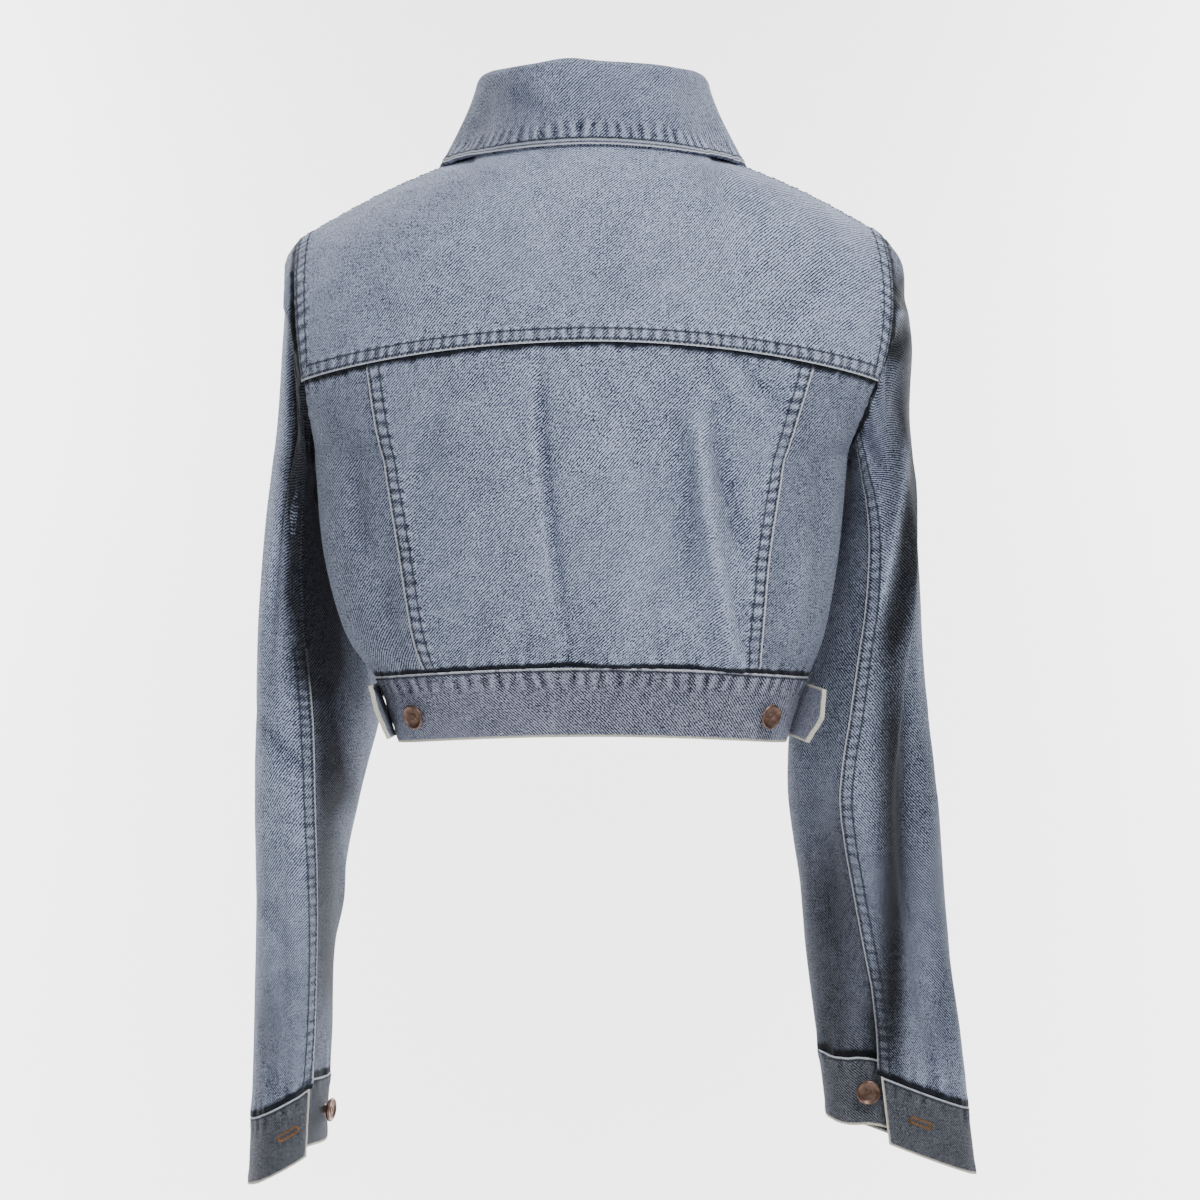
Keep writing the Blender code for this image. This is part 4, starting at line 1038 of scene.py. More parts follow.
class Shader:
    """Writes the nodes of one material."""

    def __init__(self, name):
        self.made = bpy.data.materials.new(name)
        self.made.use_nodes = True
        self.tree = self.made.node_tree
        self.bsdf = self.tree.nodes["Principled BSDF"]

    def add(self, kind, inputs=(), output=0, **settings):
        """A node with these settings and inputs; its output is returned for the next node."""
        return add_node(self.tree, kind, inputs, **settings).outputs[output]

    def maths(self, operation, *values, clamp=False):
        return self.add("ShaderNodeMath", dict(enumerate(values)), operation=operation, use_clamp=clamp)

    def times(self, first, second, clamp=False):
        return self.maths("MULTIPLY", first, second, clamp=clamp)

    def scaled(self, value, factor, more, clamp=False):
        """value times factor plus more."""
        return self.maths("MULTIPLY_ADD", value, factor, more, clamp=clamp)

    def field(self, name):
        return self.add("ShaderNodeAttribute", output=2, attribute_name=name)

    def noise(self, vector, scale, detail=3.0, roughness=0.55):
        values = {"Vector": vector, "Scale": scale, "Detail": detail, "Roughness": roughness}
        return self.add("ShaderNodeTexNoise", values)

    def stretch(self, vector, scale, turn=0.0):
        return self.add("ShaderNodeMapping", {"Vector": vector, "Scale": scale, "Rotation": (0, 0, turn)})

    def blend(self, share, first, second, mode="MIX"):
        inputs = {0: share, 6: first, 7: second}
        return self.add("ShaderNodeMix", inputs, 2, data_type="RGBA", blend_type=mode)

    def band(self, value, centre, reach):
        """1 where value is at centre, fading to 0 at this reach."""
        off = self.maths("ABSOLUTE", self.maths("SUBTRACT", value, centre))
        return self.maths("SUBTRACT", 1.0, self.maths("DIVIDE", off, reach), clamp=True)

    def set(self, **values):
        for key, value in values.items():
            feed(self.tree, self.bsdf.inputs[key.replace("_", " ")], value)


def colour(text):
    """Linear colour of a six-digit code."""
    parts = [int(text[place : place + 2], 16) / 255 for place in (0, 2, 4)]
    return tuple(p / 12.92 if p <= 0.04045 else ((p + 0.055) / 1.055) ** 2.4 for p in parts) + (1.0,)


def denim(name, part, lean, rows=(0.0022, 0.0087), rung=(0.0074, 0.0056, 0.0066, 0.54), plies=False):
    """Washed twill: diagonal wales, broken warp streaks, a mottled wash and worn seams, with painted shade,
    painted highlights and painted shadows.
    """
    cloth = bpy.context.scene.denim_cloth
    deep, pale = getattr(cloth, part + "_deep"), getattr(cloth, part + "_pale")
    s = Shader(name)
    flat = s.add("ShaderNodeUVMap", uv_map="cloth")
    u = s.add("ShaderNodeSeparateXYZ", {"Vector": flat})
    v = u.node.outputs[1]
    grit = s.noise(flat, 800.0, 2.0, 0.7)
    wash = s.noise(flat, 46.0, 4.0, 0.62)
    # The wales run at a slant, wander a little and break up where the warp is worn.
    drift = s.scaled(v, -lean, u)
    drift = s.scaled(s.noise(flat, 70.0, 2.0), 0.0018, drift)
    turns = s.maths("DIVIDE", drift, cloth.twill_pitch * math.sqrt(1 + lean * lean) / (2 * math.pi))
    wale = s.times(s.maths("SINE", turns), 0.5)
    # The worn field holds the cloth's wear and the painted shade and highlight of its folds and puckers.
    tone = s.scaled(wale, cloth.twill_contrast, s.field("worn"))
    painted_light, edge, hem = s.field("painted_light"), s.field("edge"), s.field("hem")
    # Painted highlight: where the painted light field is positive the cloth is painted paler.
    tone = s.maths("ADD", tone, s.maths("MAXIMUM", painted_light, 0.0))
    # Beside its stitch rows the cloth is gathered like the rungs of a ladder, each rung painted paler and
    # each gap darker: partly wear, partly painted shade.
    pitch, centre, reach, strength = rung
    pace = s.scaled(s.noise(flat, 50.0, 1.0), 1.1, s.maths("DIVIDE", s.field("run"), pitch))
    beside = s.times(s.band(edge, centre, reach), 1.8, clamp=True)
    beside = s.times(beside, s.maths("ADD", s.noise(flat, 28.0, 1.0), 0.4))
    rise = s.times(s.maths("SINE", s.times(pace, 2 * math.pi)), beside)
    tone = s.scaled(rise, strength, tone)
    marks = (
        (grit, 4.5),
        (s.noise(s.stretch(flat, (820, 120, 1)), 1.0, 2.0), 0.80),
        (s.noise(s.stretch(flat, (120, 900, 1)), 1.0, 1.0), 0.50),
        (wash, 0.60),
        (s.noise(flat, 13.0, 2.0), 0.28),
        (s.noise(flat, 190.0, 2.0, 0.6), 0.60),
    )
    for noise, size in marks:
        tone = s.scaled(s.maths("SUBTRACT", noise, 0.5), size, tone)
    base = s.blend(s.maths("ADD", tone, 0.0, clamp=True), tuple(deep), tuple(pale))
    # Between the stitch rows of a seam the cloth is rubbed and a little green with age.
    if len(rows) == 2:
        base = s.blend(s.times(s.band(edge, 0.0054, 0.0040), 0.24), base, colour("6c7075"))
    for row in rows:
        groove = s.times(s.band(edge, row, 0.0013), 0.90)
        base = s.blend(groove, base, colour("1d212c"))
    # Turned edges are worn white, and the lower hems cream.
    thin = s.times(s.band(edge, 0.0, 0.0016), s.scaled(grit, 2.4, 0.2), clamp=True)
    base = s.blend(thin, base, colour("c9cdd6"))
    if plies:
        groove = s.times(s.band(edge, 0.0016, 0.0009), 0.8)
        base = s.blend(groove, base, colour("262c3b"))
        base = s.blend(s.times(s.band(edge, 0.0028, 0.0010), 0.9), base, colour("b9bfca"))
    thick = s.times(s.band(hem, 0.0, 0.0021), s.scaled(grit, 3.0, 0.1), clamp=True)
    base = s.blend(thick, base, colour("cdcabb"))
    ragged = s.maths("SUBTRACT", s.noise(flat, 110.0, 2.0), 0.5)
    ragged = s.scaled(ragged, 0.006, s.field("tucked"))
    shadow = s.times(s.band(ragged, 0.0, 0.0064), 2.3, clamp=True)
    base = s.blend(shadow, base, colour("161a24"))
    # Painted shade, deepest in the folds: where the painted light field is negative the cloth is darkened.
    painted_shade = s.times(s.maths("MINIMUM", painted_light, 0.0), -1.0, clamp=True)
    base = s.blend(painted_shade, base, (0.10, 0.095, 0.09, 1.0), "MULTIPLY")
    relief = s.scaled(wale, 0.8, s.times(grit, 0.9))
    relief = s.scaled(rise, strength * 4, relief)
    normal = s.add("ShaderNodeBump", {"Strength": 0.7, "Distance": 0.0006, "Height": relief})
    s.set(Base_Color=base, Roughness=0.9, Normal=normal, Sheen_Weight=0.12, Sheen_Roughness=0.5)
    s.set(Specular_IOR_Level=0.2, Sheen_Tint=(0.85, 0.9, 1.0, 1.0))
    return s.made


def thread(name, dyed, faded):
    """Twisted sewing thread."""
    s = Shader(name)
    place = s.add("ShaderNodeTexCoord", output=3)
    twist = s.noise(s.stretch(place, (1, 1, 1)), 1500.0, 2.0)
    fade = s.noise(place, 60.0, 2.0)
    base = s.blend(s.scaled(fade, 0.5, 0.1), tuple(dyed), colour(faded))
    base = s.blend(s.times(twist, 0.4), base, colour("2f3138"))
    normal = s.add("ShaderNodeBump", {"Strength": 0.4, "Distance": 0.0003, "Height": twist})
    s.set(Base_Color=base, Roughness=0.75, Normal=normal, Specular_IOR_Level=0.3)
    return s.made


def metal(name, bright, dull, roughness):
    """Plated brass, rubbed bright in some patches and dull in others."""
    s = Shader(name)
    place = s.add("ShaderNodeTexCoord", output=3)
    tarnish = s.noise(place, 260.0, 4.0, 0.6)
    scratch = s.noise(s.stretch(place, (1, 6, 1), 0.6), 1400.0, 2.0)
    hollow = s.scaled(tarnish, 1.5, -0.25, clamp=True)
    base = s.blend(hollow, tuple(bright), colour(dull))
    rough = s.scaled(tarnish, 0.25, roughness)
    normal = s.add("ShaderNodeBump", {"Strength": 0.15, "Distance": 0.0003, "Height": scratch})
    s.set(Base_Color=base, Metallic=0.9, Roughness=rough, Normal=normal)
    return s.made


def floor_finish(name):
    s = Shader(name)
    place = s.add("ShaderNodeTexCoord", output=3)
    plain = tuple(bpy.context.scene.denim_stage.floor_colour)
    base = s.blend(s.times(s.noise(place, 3.0, 2.0), 0.3), plain, colour("f9f9f9"))
    s.set(Base_Color=base, Roughness=0.9)
    return s.made


TRIM_RUNG = (0.0096, 0.0070, 0.0080, 0.44)
COLLAR_RUNG = (0.0083, 0.0085, 0.0075, 0.50)
CUFF_RUNG = (0.0090, 0.0060, 0.0060, 0.26)
SLEEVE_RUNG = (0.0066, 0.0056, 0.0060, 0.32)


def sewing():
    return bpy.context.scene.denim_sewing


FINISHES = {
    "washed_denim": lambda name: denim(name, "body", -1.0),
    "sleeve_denim": lambda name: denim(name, "body", -1.0, rung=SLEEVE_RUNG),
    "trim_denim": lambda name: denim(name, "trim", 1.0, (0.0020,), TRIM_RUNG),
    "collar_denim": lambda name: denim(name, "collar", 1.0, (0.0042,), COLLAR_RUNG, True),
    "cuff_denim": lambda name: denim(name, "cuff", 1.0, (0.0020,), CUFF_RUNG),
    "thread_blue": lambda name: thread(name, sewing().thread_colour, "4a5160"),
    "thread_gold": lambda name: thread(name, sewing().gold_colour, "a8732c"),
    "copper": lambda name: metal(name, sewing().button_colour, "382a25", 0.30),
    "floor": floor_finish,
}


def finished(name):
    found = bpy.data.materials.get(name)
    return found or FINISHES[name](name)


# ---------------------------------------------------------------- pieces of the body


ROWS_A_SECTION = 4  # measured rows between two sections of a table, before they are made finer
FRONT_SPACING = 1.4  # how much coarser the front's grid is than the back's
BAND_GRID = 0.0022  # spacing of the points on the waistband
TRIM_GRID = 0.0018  # and on its tabs and the cuffs


def centre_shares(level):
    seam = seam_share(level)
    return steps(-seam, seam, 24)


def mirrored(shares, side):
    """The same shares on this side, run from the wearer's right to the left."""
    return shares if side > 0 else [-share for share in reversed(shares)]


def side_shares(side):
    return lambda level: mirrored(steps(seam_share(level), 1, 10), side)


def yoke_shares(level):
    return side_shares(-1)(level)[:-1] + centre_shares(level) + side_shares(1)(level)[1:]


def front_shares(side):
    inner = side * (UNDER_BAND_HALF_WIDTH + SEAM_GAP)
    return lambda level: mirrored(steps(abs(share_at_x(level, inner)), 1, 18), side)


def band_shares(half_width):
    return lambda level: [share_at_x(level, x) for x in steps(-half_width, half_width, 4)]


def body_grid(surface, shares_at, levels):
    return np.array([[surface(share, level) for share in shares_at(level)] for level in levels])


def outward(grid):
    """Normals of a piece of the body, away from the wearer."""
    out = grid_normals(grid)
    return out if (out * (grid * (1, 1, 0))).sum() > 0 else -out


# Painted light of the back: the yoke painted paler, the side backs and the wearer's left painted darker.
YOKE_SHADE = 0.06
SIDE_SHADE = (-0.29, 0.07)  # of the side backs, and how much paler the left one is than their mean
PAINTED_SHADE_LEFT = 0.16


def body_cloth(node, surface, shares_at, levels, edges, table, shade, seed, lift=0.0):
    """One piece of the body, given the surface that it lies on and where its points are."""
    large_folds = surface is back_plain
    spacing = bpy.context.scene.denim_cloth.grid_size * (1 if large_folds else FRONT_SPACING)
    grid = body_grid(surface, shares_at, levels)
    if large_folds:
        # The large folds die away toward the side seams and on the yoke.
        shares = np.array([shares_at(level) for level in levels])
        places = np.array(levels)[:, None]
        still = soft_step((1 - np.abs(shares)) / 0.15) * soft_step((TOP_LEVEL + 0.4 - places) / 0.6)
        heights = np.array([[back_fold(point) for point in row] for row in grid])
        grid = grid + outward(grid) * (heights * still)[..., None]
    (grid,) = fine(spacing, grid)
    out = outward(grid)
    grid = grid + out * lift
    folds = crease_height(table, grid[..., 0], grid[..., 2])
    # Painted shade over the wearer's left of the back.
    shade = shade - PAINTED_SHADE_LEFT * soft_step((grid[..., 0] - 0.02) / 0.12) * soft_step(grid[..., 1] / 0.01)
    make_cloth(node + "_cloth", grid, grid - out * BODY_WALL, edges, folds, shade, seed)


def dress(made, *nodes, slot="denim"):
    """Hands a finished piece to the frame: it rides with the body and stands for its solids."""
    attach(made, "root")
    if nodes:
        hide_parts(*nodes)


def dress_node(node, slot="denim"):
    """Hands over the cloth that stands for the one solid it is named after."""
    dress(bpy.data.objects[node + "_cloth"], node, slot=slot)


# The cut of each piece: width and length of the cloth it was cut from in millimetres, the flat area of
# one side in square centimetres, and the piece it is sewn to and hangs from.
CUTS = """
    back_centre           290 208  531 back_yoke
    back_side_left        113 214  202 back_yoke
    back_side_right       109 211  196 back_yoke
    back_yoke             480 168  700 collar
    front_left            258 364  683 back_yoke
    front_right           254 363  665 back_yoke
    front_band_under       34 288   98 front_right
    front_band_over      38.5 287  110 front_left
    waistband             816  45  352 back_centre
    waist_tab_left         50  40   16 waistband
    waist_tab_right        52  39   16 waistband
    collar                622 102  508 back_yoke
    sleeve_upper_left     317 549 1012 back_yoke
    sleeve_under_left     134 450  502 sleeve_upper_left
    cuff_left             257  46  113 sleeve_upper_left
    sleeve_upper_right    326 537 1064 back_yoke
    sleeve_under_right    135 424  428 sleeve_upper_right
    cuff_right            274  46  116 sleeve_upper_right
"""


def declare_cloth():
    """Reads the cut of every piece once all of them are made; nothing is done with it."""
    for line in CUTS.strip().splitlines():
        node, width, length, area, holder = line.split()
        rests_on, area = [holder + "_cloth"], float(area + "e-4")


def make_back():
    levels = steps(0, TOP_LEVEL, TOP_LEVEL * ROWS_A_SECTION)
    top = steps(TOP_LEVEL, TOP_LEVEL + 1, 24)
    shade, paler = SIDE_SHADE
    pieces = [("back_centre", centre_shares, levels, sewn_edges("under under felled felled"), 0.0, 1.0)]
    for side, name in SIDES:
        edges = sewn_edges("under under seam seam", side)
        looks = (edges, shade + paler * side, 2.0 + side)
        pieces.append(("back_side_" + name, side_shares(side), levels, *looks))
    pieces.append(("back_yoke", yoke_shares, top, sewn_edges("felled felled arm arm"), YOKE_SHADE, 4.0))
    for node, shares_at, levels, edges, shade, seed in pieces:
        body_cloth(node, back_plain, shares_at, levels, edges, BACK_CREASES, shade, seed)
        dress_node(node)


def make_fronts():
    levels = steps(0, TOP_LEVEL, TOP_LEVEL * ROWS_A_SECTION)[:-1] + steps(TOP_LEVEL, TOP_LEVEL + 1, 20)
    lapped = levels[:-1] + [TOP_LEVEL + 1 - BAND_TOP_SHY]
    laps = sewn_edges("under under lap lap")
    pieces = []
    for side, name in SIDES:
        edges = sewn_edges("under under under arm", side)
        pieces.append(("front_" + name, front_shares(side), levels, edges, 5.0 + side, 0.0))
    pieces.append(("front_band_under", band_shares(UNDER_BAND_HALF_WIDTH), levels, laps, 7.0, 0.0))
    lift = SEAM_GAP + BODY_WALL
    pieces.append(("front_band_over", band_shares(BAND_HALF_WIDTH), lapped, laps, 8.0, lift))
    for node, shares_at, levels, edges, seed, lift in pieces:
        body_cloth(node, front_plain, shares_at, levels, edges, FRONT_CREASES, 0.0, seed, lift)
        dress_node(node)


def waistband_route():
    """The places along the waistband, from its under end at the centre front, round to its over end."""
    under = share_at_x(0, -UNDER_BAND_HALF_WIDTH)
    over = share_at_x(0, BAND_HALF_WIDTH)
    ramp = share_at_x(0, -BAND_HALF_WIDTH - WAISTBAND_LAP_RAMP)
    step_off = share_at_x(0, -BAND_HALF_WIDTH - 0.003)
    route = [(True, share, 0.0) for share in steps(under, 0.0, 2)[:-1] + steps(0.0, 1, 26)]
    route += [(False, share, 0.0) for share in steps(1, -1, 60)[1:]]
    route += [(True, share, 0.0) for share in steps(-1, ramp, 20)[1:]]
    lapped = SEAM_GAP + BAND_WALL
    route += [(True, ramp + (step_off - ramp) * t, lapped * smooth(t)) for t in (0.3, 0.5, 0.7)]
    route += [(True, share, lapped) for share in steps(step_off, over, 8)]
    return route


PULL = 0.0004  # height of the small gathers beside a stitched band
PRESSED_IN = 0.0005  # depth of the line where a band's inner edge was stitched through


def make_waistband():
    layers = []
    for depth in (0.0, BAND_WALL):
        rows = []
        for drop in steps(0, 1, 5):
            found = [(waistband_point(front, share, drop), lift) for front, share, lift in waistband_route()]
            rows.append([point + normal * (lift - depth) for (point, normal), lift in found])
        layers.append(np.array(rows))
    outside, inside = fine(BAND_GRID, *layers)
    away = edge_distances(outside)
    drop = away["first_row"]
    pull = waver(run_beside(away, "first_row") * 0.8, 3.3) * PULL * np.exp(-((drop / 0.0125) ** 4))
    ridge = -PRESSED_IN * bump(drop - 0.0165, 0.0022)
    edges = sewn_edges("lap hem hem hem")
    make_cloth("waistband_cloth", outside, inside, edges, ridge, 0.0, 9.0, "trim_denim", gathers=pull)
    dress_node("waistband", "denim_trim")
    for side, name in SIDES:
        far, near = fine(TRIM_GRID, tab_grid(side, SEAM_GAP + BAND_WALL), tab_grid(side, SEAM_GAP))
        edges = sewn_edges("hem hem free hem")
        make_cloth(f"waist_tab_{name}_cloth", far, near, edges, 0.0, 0.0, 10.0 + side, "trim_denim")
        dress_node("waist_tab_" + name, "denim_trim")


# ---------------------------------------------------------------- collar


COLLAR_SEAM_GAP = 0.0002  # more clearance over the neck seam
COLLAR_SWELL = 0.0025  # the fall stands out this far between its fold and its free edge
COLLAR_HOLLOW = (0.0075, 0.36, 0.16)  # and sinks in at each side of the back: depth, place and reach
COLLAR_COLUMNS = 44  # places around the collar before its grid is made finer
COLLAR_ROWS = 44
COLLAR_PEAK = (0.0025, 0.016, 0.056, 0.016)  # small peak of the fold: height, x, z and reach


def collar_profile(around, wall):
    """Points from the neck seam up the stand, over the fold and down to the free edge."""
    get = COLLAR.row(1 + around * (COLLAR.last - 1))
    base = neck_seam(around)
    fold, edge = (np.array([get[part + axis] for axis in "xyz"]) for part in ("fold_", "edge_"))
    out = unit(np.array([edge[0] - base[0] * 0.6, edge[1] - base[1] * 0.6, 0]))
    centre = fold - UP * COLLAR_FOLD_RADIUS
    radius = COLLAR_FOLD_RADIUS - wall
    foot = base + UP * (SEAM_GAP + COLLAR_SEAM_GAP) + out * wall
    top = centre - out * radius
    points = [foot + (top - foot) * along for along in steps(0, 1, 8)[:-1]]
    for angle in steps(180, 0, 10):
        turned = math.radians(angle)
        points.append(centre + radius * (out * math.cos(turned) + UP * math.sin(turned)))
    fall = unit(edge - points[-1])
    face = unit(np.cross(np.cross(fall, out), fall))
    start = centre + out * COLLAR_FOLD_RADIUS
    deepest, place, reach = COLLAR_HOLLOW
    swell = COLLAR_SWELL - deepest * math.exp(-(((around - place) / reach) ** 2))
    for along in steps(0, 1, 16)[1:]:
        inward = smooth(along * 4)
        point = start + (edge - start) * along
        point = point + face * (swell * math.sin(math.pi * along) - wall * inward)
        points.append(point - out * wall * (1 - inward))
    return points


def even_rows(grid, rows):
    """The same columns with their points evenly apart."""
    run = np.concatenate([[0], np.cumsum(np.linalg.norm(np.diff(grid, axis=0), axis=2).mean(axis=1))])
    wanted = np.linspace(0, run[-1], rows)
    flat = grid.reshape(len(grid), -1)
    evened = np.stack([np.interp(wanted, run, flat[:, k]) for k in range(flat.shape[1])], axis=1)
    return evened.reshape(rows, *grid.shape[1:])


# Folds of the collar's back, by x and z.
COLLAR_FOLDS = Table(CREASE_COLUMNS, """
    roll          52 46  30 22  2 7   -2 0
    middle        10 50   2 28  2 9 -1.2 0
    right        -40 48 -52 26 -2 7  1.6 0
    corner_left   76 30  86 10  1 6 -2.2 0
    corner_right -74 34 -86 12  1 6 -1.8 0
""")
COLLAR_RISE = 0.0042  # how far the finished collar stands above the plain one
COLLAR_REST = 0.0022  # from the cloth under the collar to the outer face of its free edge
MOST_SINK = 0.008  # the free edge sinks no further than this


def settle_on_cloth(outside, inside):
    """Lets the collar's fall sink until its free edge rests on the yoke and the fronts."""
    under = [FINISHED[name] for name in ("back_yoke_cloth", "front_left_cloth", "front_right_cloth")]
    points, normals = (np.concatenate([piece[k].reshape(-1, 3) for piece in under]) for k in (0, 1))
    tree = KDTree(len(points))
    for index, point in enumerate(points):
        tree.insert(point, index)
    tree.balance()
    rows = len(outside)
    share = soft_step((np.arange(rows) / (rows - 1) - 0.45) / 0.55)[:, None]
    shifts = []
    for edge in outside[-1]:
        nearest = tree.find(edge)[1]
        above = float(np.dot(edge - points[nearest], normals[nearest]))
        shifts.append(-normals[nearest] * np.clip(above - COLLAR_REST, 0, MOST_SINK))
    shifts = np.array(shifts)
    for _ in range(8):
        shifts[1:-1] = (shifts[:-2] + 2 * shifts[1:-1] + shifts[2:]) / 4
    return [layer + share[..., None] * shifts[None] for layer in (outside, inside)]


def make_collar():
    layers = []
    for wall in (0.0, BAND_WALL):
        columns = []
        for place in steps(-1, 1, COLLAR_COLUMNS):
            mirror = np.array([1 if place >= 0 else -1, 1, 1])
            columns.append([point * mirror for point in collar_profile(abs(place), wall)])
        grid = even_rows(flipped(np.array(columns)), COLLAR_ROWS)
        layers.append(flipped(spline(flipped(grid), 240)))
    rise = soft_step(np.arange(COLLAR_ROWS) / 14)[:, None]
    height, x, z, reach = COLLAR_PEAK
    peak = bump(layers[0][..., 0] - x, reach) * bump(layers[0][..., 2] - z, reach)
    raised = [layer + UP * (COLLAR_RISE * rise + height * peak)[..., None] for layer in layers]
    outside, inside = settle_on_cloth(*raised)
    away = edge_distances(outside)
    pull = waver(run_beside(away, "last_row") * 0.9, 5.1) * PULL * bump(away["last_row"] - 0.0095, 0.0075)
    # Folds of the collar's back: they move the cloth and are painted darker in their valleys, partly wear and
    # partly painted shade.
    wash = crease_height(COLLAR_FOLDS, outside[..., 0], outside[..., 2]) * (outside[..., 1] > 0)
    edges = sewn_edges("free plies plies plies")
    # Painted shade over the collar's left side.
    shade = -0.24 * soft_step((outside[..., 0] - 0.01) / 0.06)
    make_cloth("collar_cloth", outside, inside, edges, wash, shade, 12.0, "collar_denim", gathers=pull)
    dress_node("collar", "denim_trim")


# ---------------------------------------------------------------- sleeves and cuffs


def span_of(rings, steps_across, times):
    """Fine rows of a tube of rings, each sampled at its own row of ring steps."""
    first, last = int(steps_across.min()) - 2, int(math.ceil(steps_across.max())) + 2
    columns = [step % RING for step in range(first, last + 1)]
    wide = spline(flipped(rings[:, columns]), (last - first) * times + 1)
    full = spline(flipped(wide), len(steps_across))
    marks = np.arange(full.shape[1]) / times + first
    rows = []
    for wanted, row in zip(steps_across, full):
        rows.append(np.stack([np.interp(wanted, marks, row[:, axis]) for axis in range(3)], axis=1))
    return np.array(rows)


# By how many ring steps the back seam lies nearer the underarm, at three places down each sleeve.
SEAM_TURN_PLACES = (4.2, 6.4, 8.3)
SEAM_TURN = {1: (0.0, 0.0, 0.0), -1: (1.15, 0.60, 0.05)}


SLEEVE_ROWS = 200
SLEEVE_FINENESS = 7  # points for one ring step
SECTION_RUN = 0.058  # metres of sleeve for one section, and for one ring step
STEP_RUN = 0.0145
GATHERS = (  # edge, pace, seed, height and reach of the gathers above the cuff and at the sleeve head
    ("last_row", 0.55, 6.0, 0.0008, 0.016),
    ("first_row", 0.7, 8.0, 0.0005, 0.012),
)
# Painted shade over each whole sleeve, more on the wearer's right.
SLEEVE_SHADE = {1: 0.08, -1: 0.20}
UNDER_SHADE = 0.38  # painted shade: how much darker the under sleeve is painted
SLEEVE_PARTS = (
    ("upper", FRONT_SEAM, RING + BACK_SEAM, "under under under felled"),
    ("under", BACK_SEAM, FRONT_SEAM, "under under seam seam"),
)


def make_sleeve(side, name):
    grids = sleeve_rings(side)
    rings = grids[0]
    shifted = [layer.copy() for layer in grids[:2]]
    for layer in shifted:
        for row in range(len(rings)):
            for step in range(BACK_SEAM, BACK_SEAM + 4):
                layer[row, step] += lap_shift(side, grids, row, step)
    for part, first, last, kinds in SLEEVE_PARTS:
        upper_part = part == "upper"
        along = np.linspace(0, 1, (last - first) * SLEEVE_FINENESS + 1)[None, :]
        place = (np.linspace(0, len(rings) - 1, SLEEVE_ROWS)[:, None] - 2) / SLEEVE_STEPS + 0 * along
        turn = np.interp(place, SEAM_TURN_PLACES, SEAM_TURN[side])
        step = first + (last - first) * along + turn * (along if upper_part else 1 - along)
        layers = grids[:2] if upper_part else shifted
        outside, inside = [span_of(layer, step, SLEEVE_FINENESS) for layer in layers]
        x, y, z = np.moveaxis(outside, -1, 0)
        out = away_from(inside, outside)
        # Where a sleeve faces the back its folds are pressed straight forward or backward.
        facing = soft_step((out[..., 1] + 0.25) / 0.6)
        folds = crease_height(SLEEVE_CREASES[side], place, step, SECTION_RUN, STEP_RUN, period=RING)
        folds = folds * (1 - 0.6 * facing) + facing * crease_height(SLEEVE_BACK_FOLDS[side], x, z)
        push = out * (1 - facing[..., None]) + BACKWARD * facing[..., None]
        push /= np.linalg.norm(push, axis=-1, keepdims=True)
        # The painted shade and painted highlight of the sleeve's folds, laid only where the sleeve faces the
        # back.
        painted_light = crease_height(SLEEVE_PAINTED_LIGHT[side], x, z)
        painted_light = painted_light * np.maximum(soft_step((out[..., 1] + 0.55) / 0.6), soft_step((y - 0.002) / 0.008))
        # Down to the elbow the left sleeve's back seam lies in its fold's shade, so its worn edge and stitch
        # marks are left out there: painted shade.
        seam_in_shade = soft_step((z + 0.318) / 0.015) * soft_step((y + 0.045) / 0.012)
        quiet = 0.03 * seam_in_shade * (1 if side > 0 else 0)
        away = edge_distances(outside)
        gathers = 0.0
        for edge, pace, seed, height, reach in GATHERS:
            wave = waver(run_beside(away, edge) * pace, seed + side)
            gathers = gathers + wave * height * np.exp(-away[edge] / reach)
        shade = painted_light - SLEEVE_SHADE[side] - (0.0 if upper_part else UNDER_SHADE)
        make_cloth(
            f"sleeve_{part}_{name}_cloth", outside, inside, sewn_edges(kinds), folds, shade, 13.0 + side,
            "sleeve_denim", quiet, gathers, push,
        )
        cloth = bpy.data.objects[f"sleeve_{part}_{name}_cloth"]
        dress(cloth, f"sleeve_{part}_top_{name}", f"sleeve_{part}_low_{name}")
    make_cuff(side, name, grids)


def make_cuff(side, name, grids):
    around = steps(BACK_SEAM, BACK_SEAM - RING, RING) + [BACK_SEAM - RING - CUFF_LAP_STEPS]
    layers = []
    for depth in (0.0, BAND_WALL):
        rows = [[cuff_point(side, grids, step, drop, depth) for step in around] for drop in steps(0, 1, 4)]
        layers.append(np.array(rows))
    outside, inside = fine(TRIM_GRID, *layers)
    away = edge_distances(outside)
    pull = waver(run_beside(away, "first_row") * 0.8, 2.0 * side) * PULL
    pull = pull * bump(away["first_row"] - 0.004, 0.009)
    edges, node = sewn_edges("lap hem hem hem"), "cuff_" + name
    make_cloth(node + "_cloth", outside, inside, edges, 0.0, 0.0, 16.0 + side, "cuff_denim", gathers=pull)
    dress_node(node, "denim_trim")


# ---------------------------------------------------------------- sewing


def node_group(name, sockets):
    """An empty Geometry Nodes tree with these named inputs, and a way to add its nodes."""
    tree = bpy.data.node_groups.new(name, "GeometryNodeTree")
    tree.interface.new_socket("Geometry", in_out="INPUT", socket_type="NodeSocketGeometry")
    tree.interface.new_socket("Geometry", in_out="OUTPUT", socket_type="NodeSocketGeometry")
    for label, kind in sockets.items():
        tree.interface.new_socket(label, in_out="INPUT", socket_type="NodeSocket" + kind)
    given = tree.nodes.new("NodeGroupInput").outputs

    def add(kind, inputs=(), **settings):
        return add_node(tree, kind, inputs, **settings)

    return tree, given, add


def end_tree(tree, given, add, shape):
    """Makes the shape real, gives it its thread and ends the tree."""
    real = add("GeometryNodeRealizeInstances", {"Geometry": shape})
    dressed = add("GeometryNodeSetMaterial", {"Geometry": real, "Material": given["Thread"]})
    add("NodeGroupOutput", {0: dressed})
    return tree


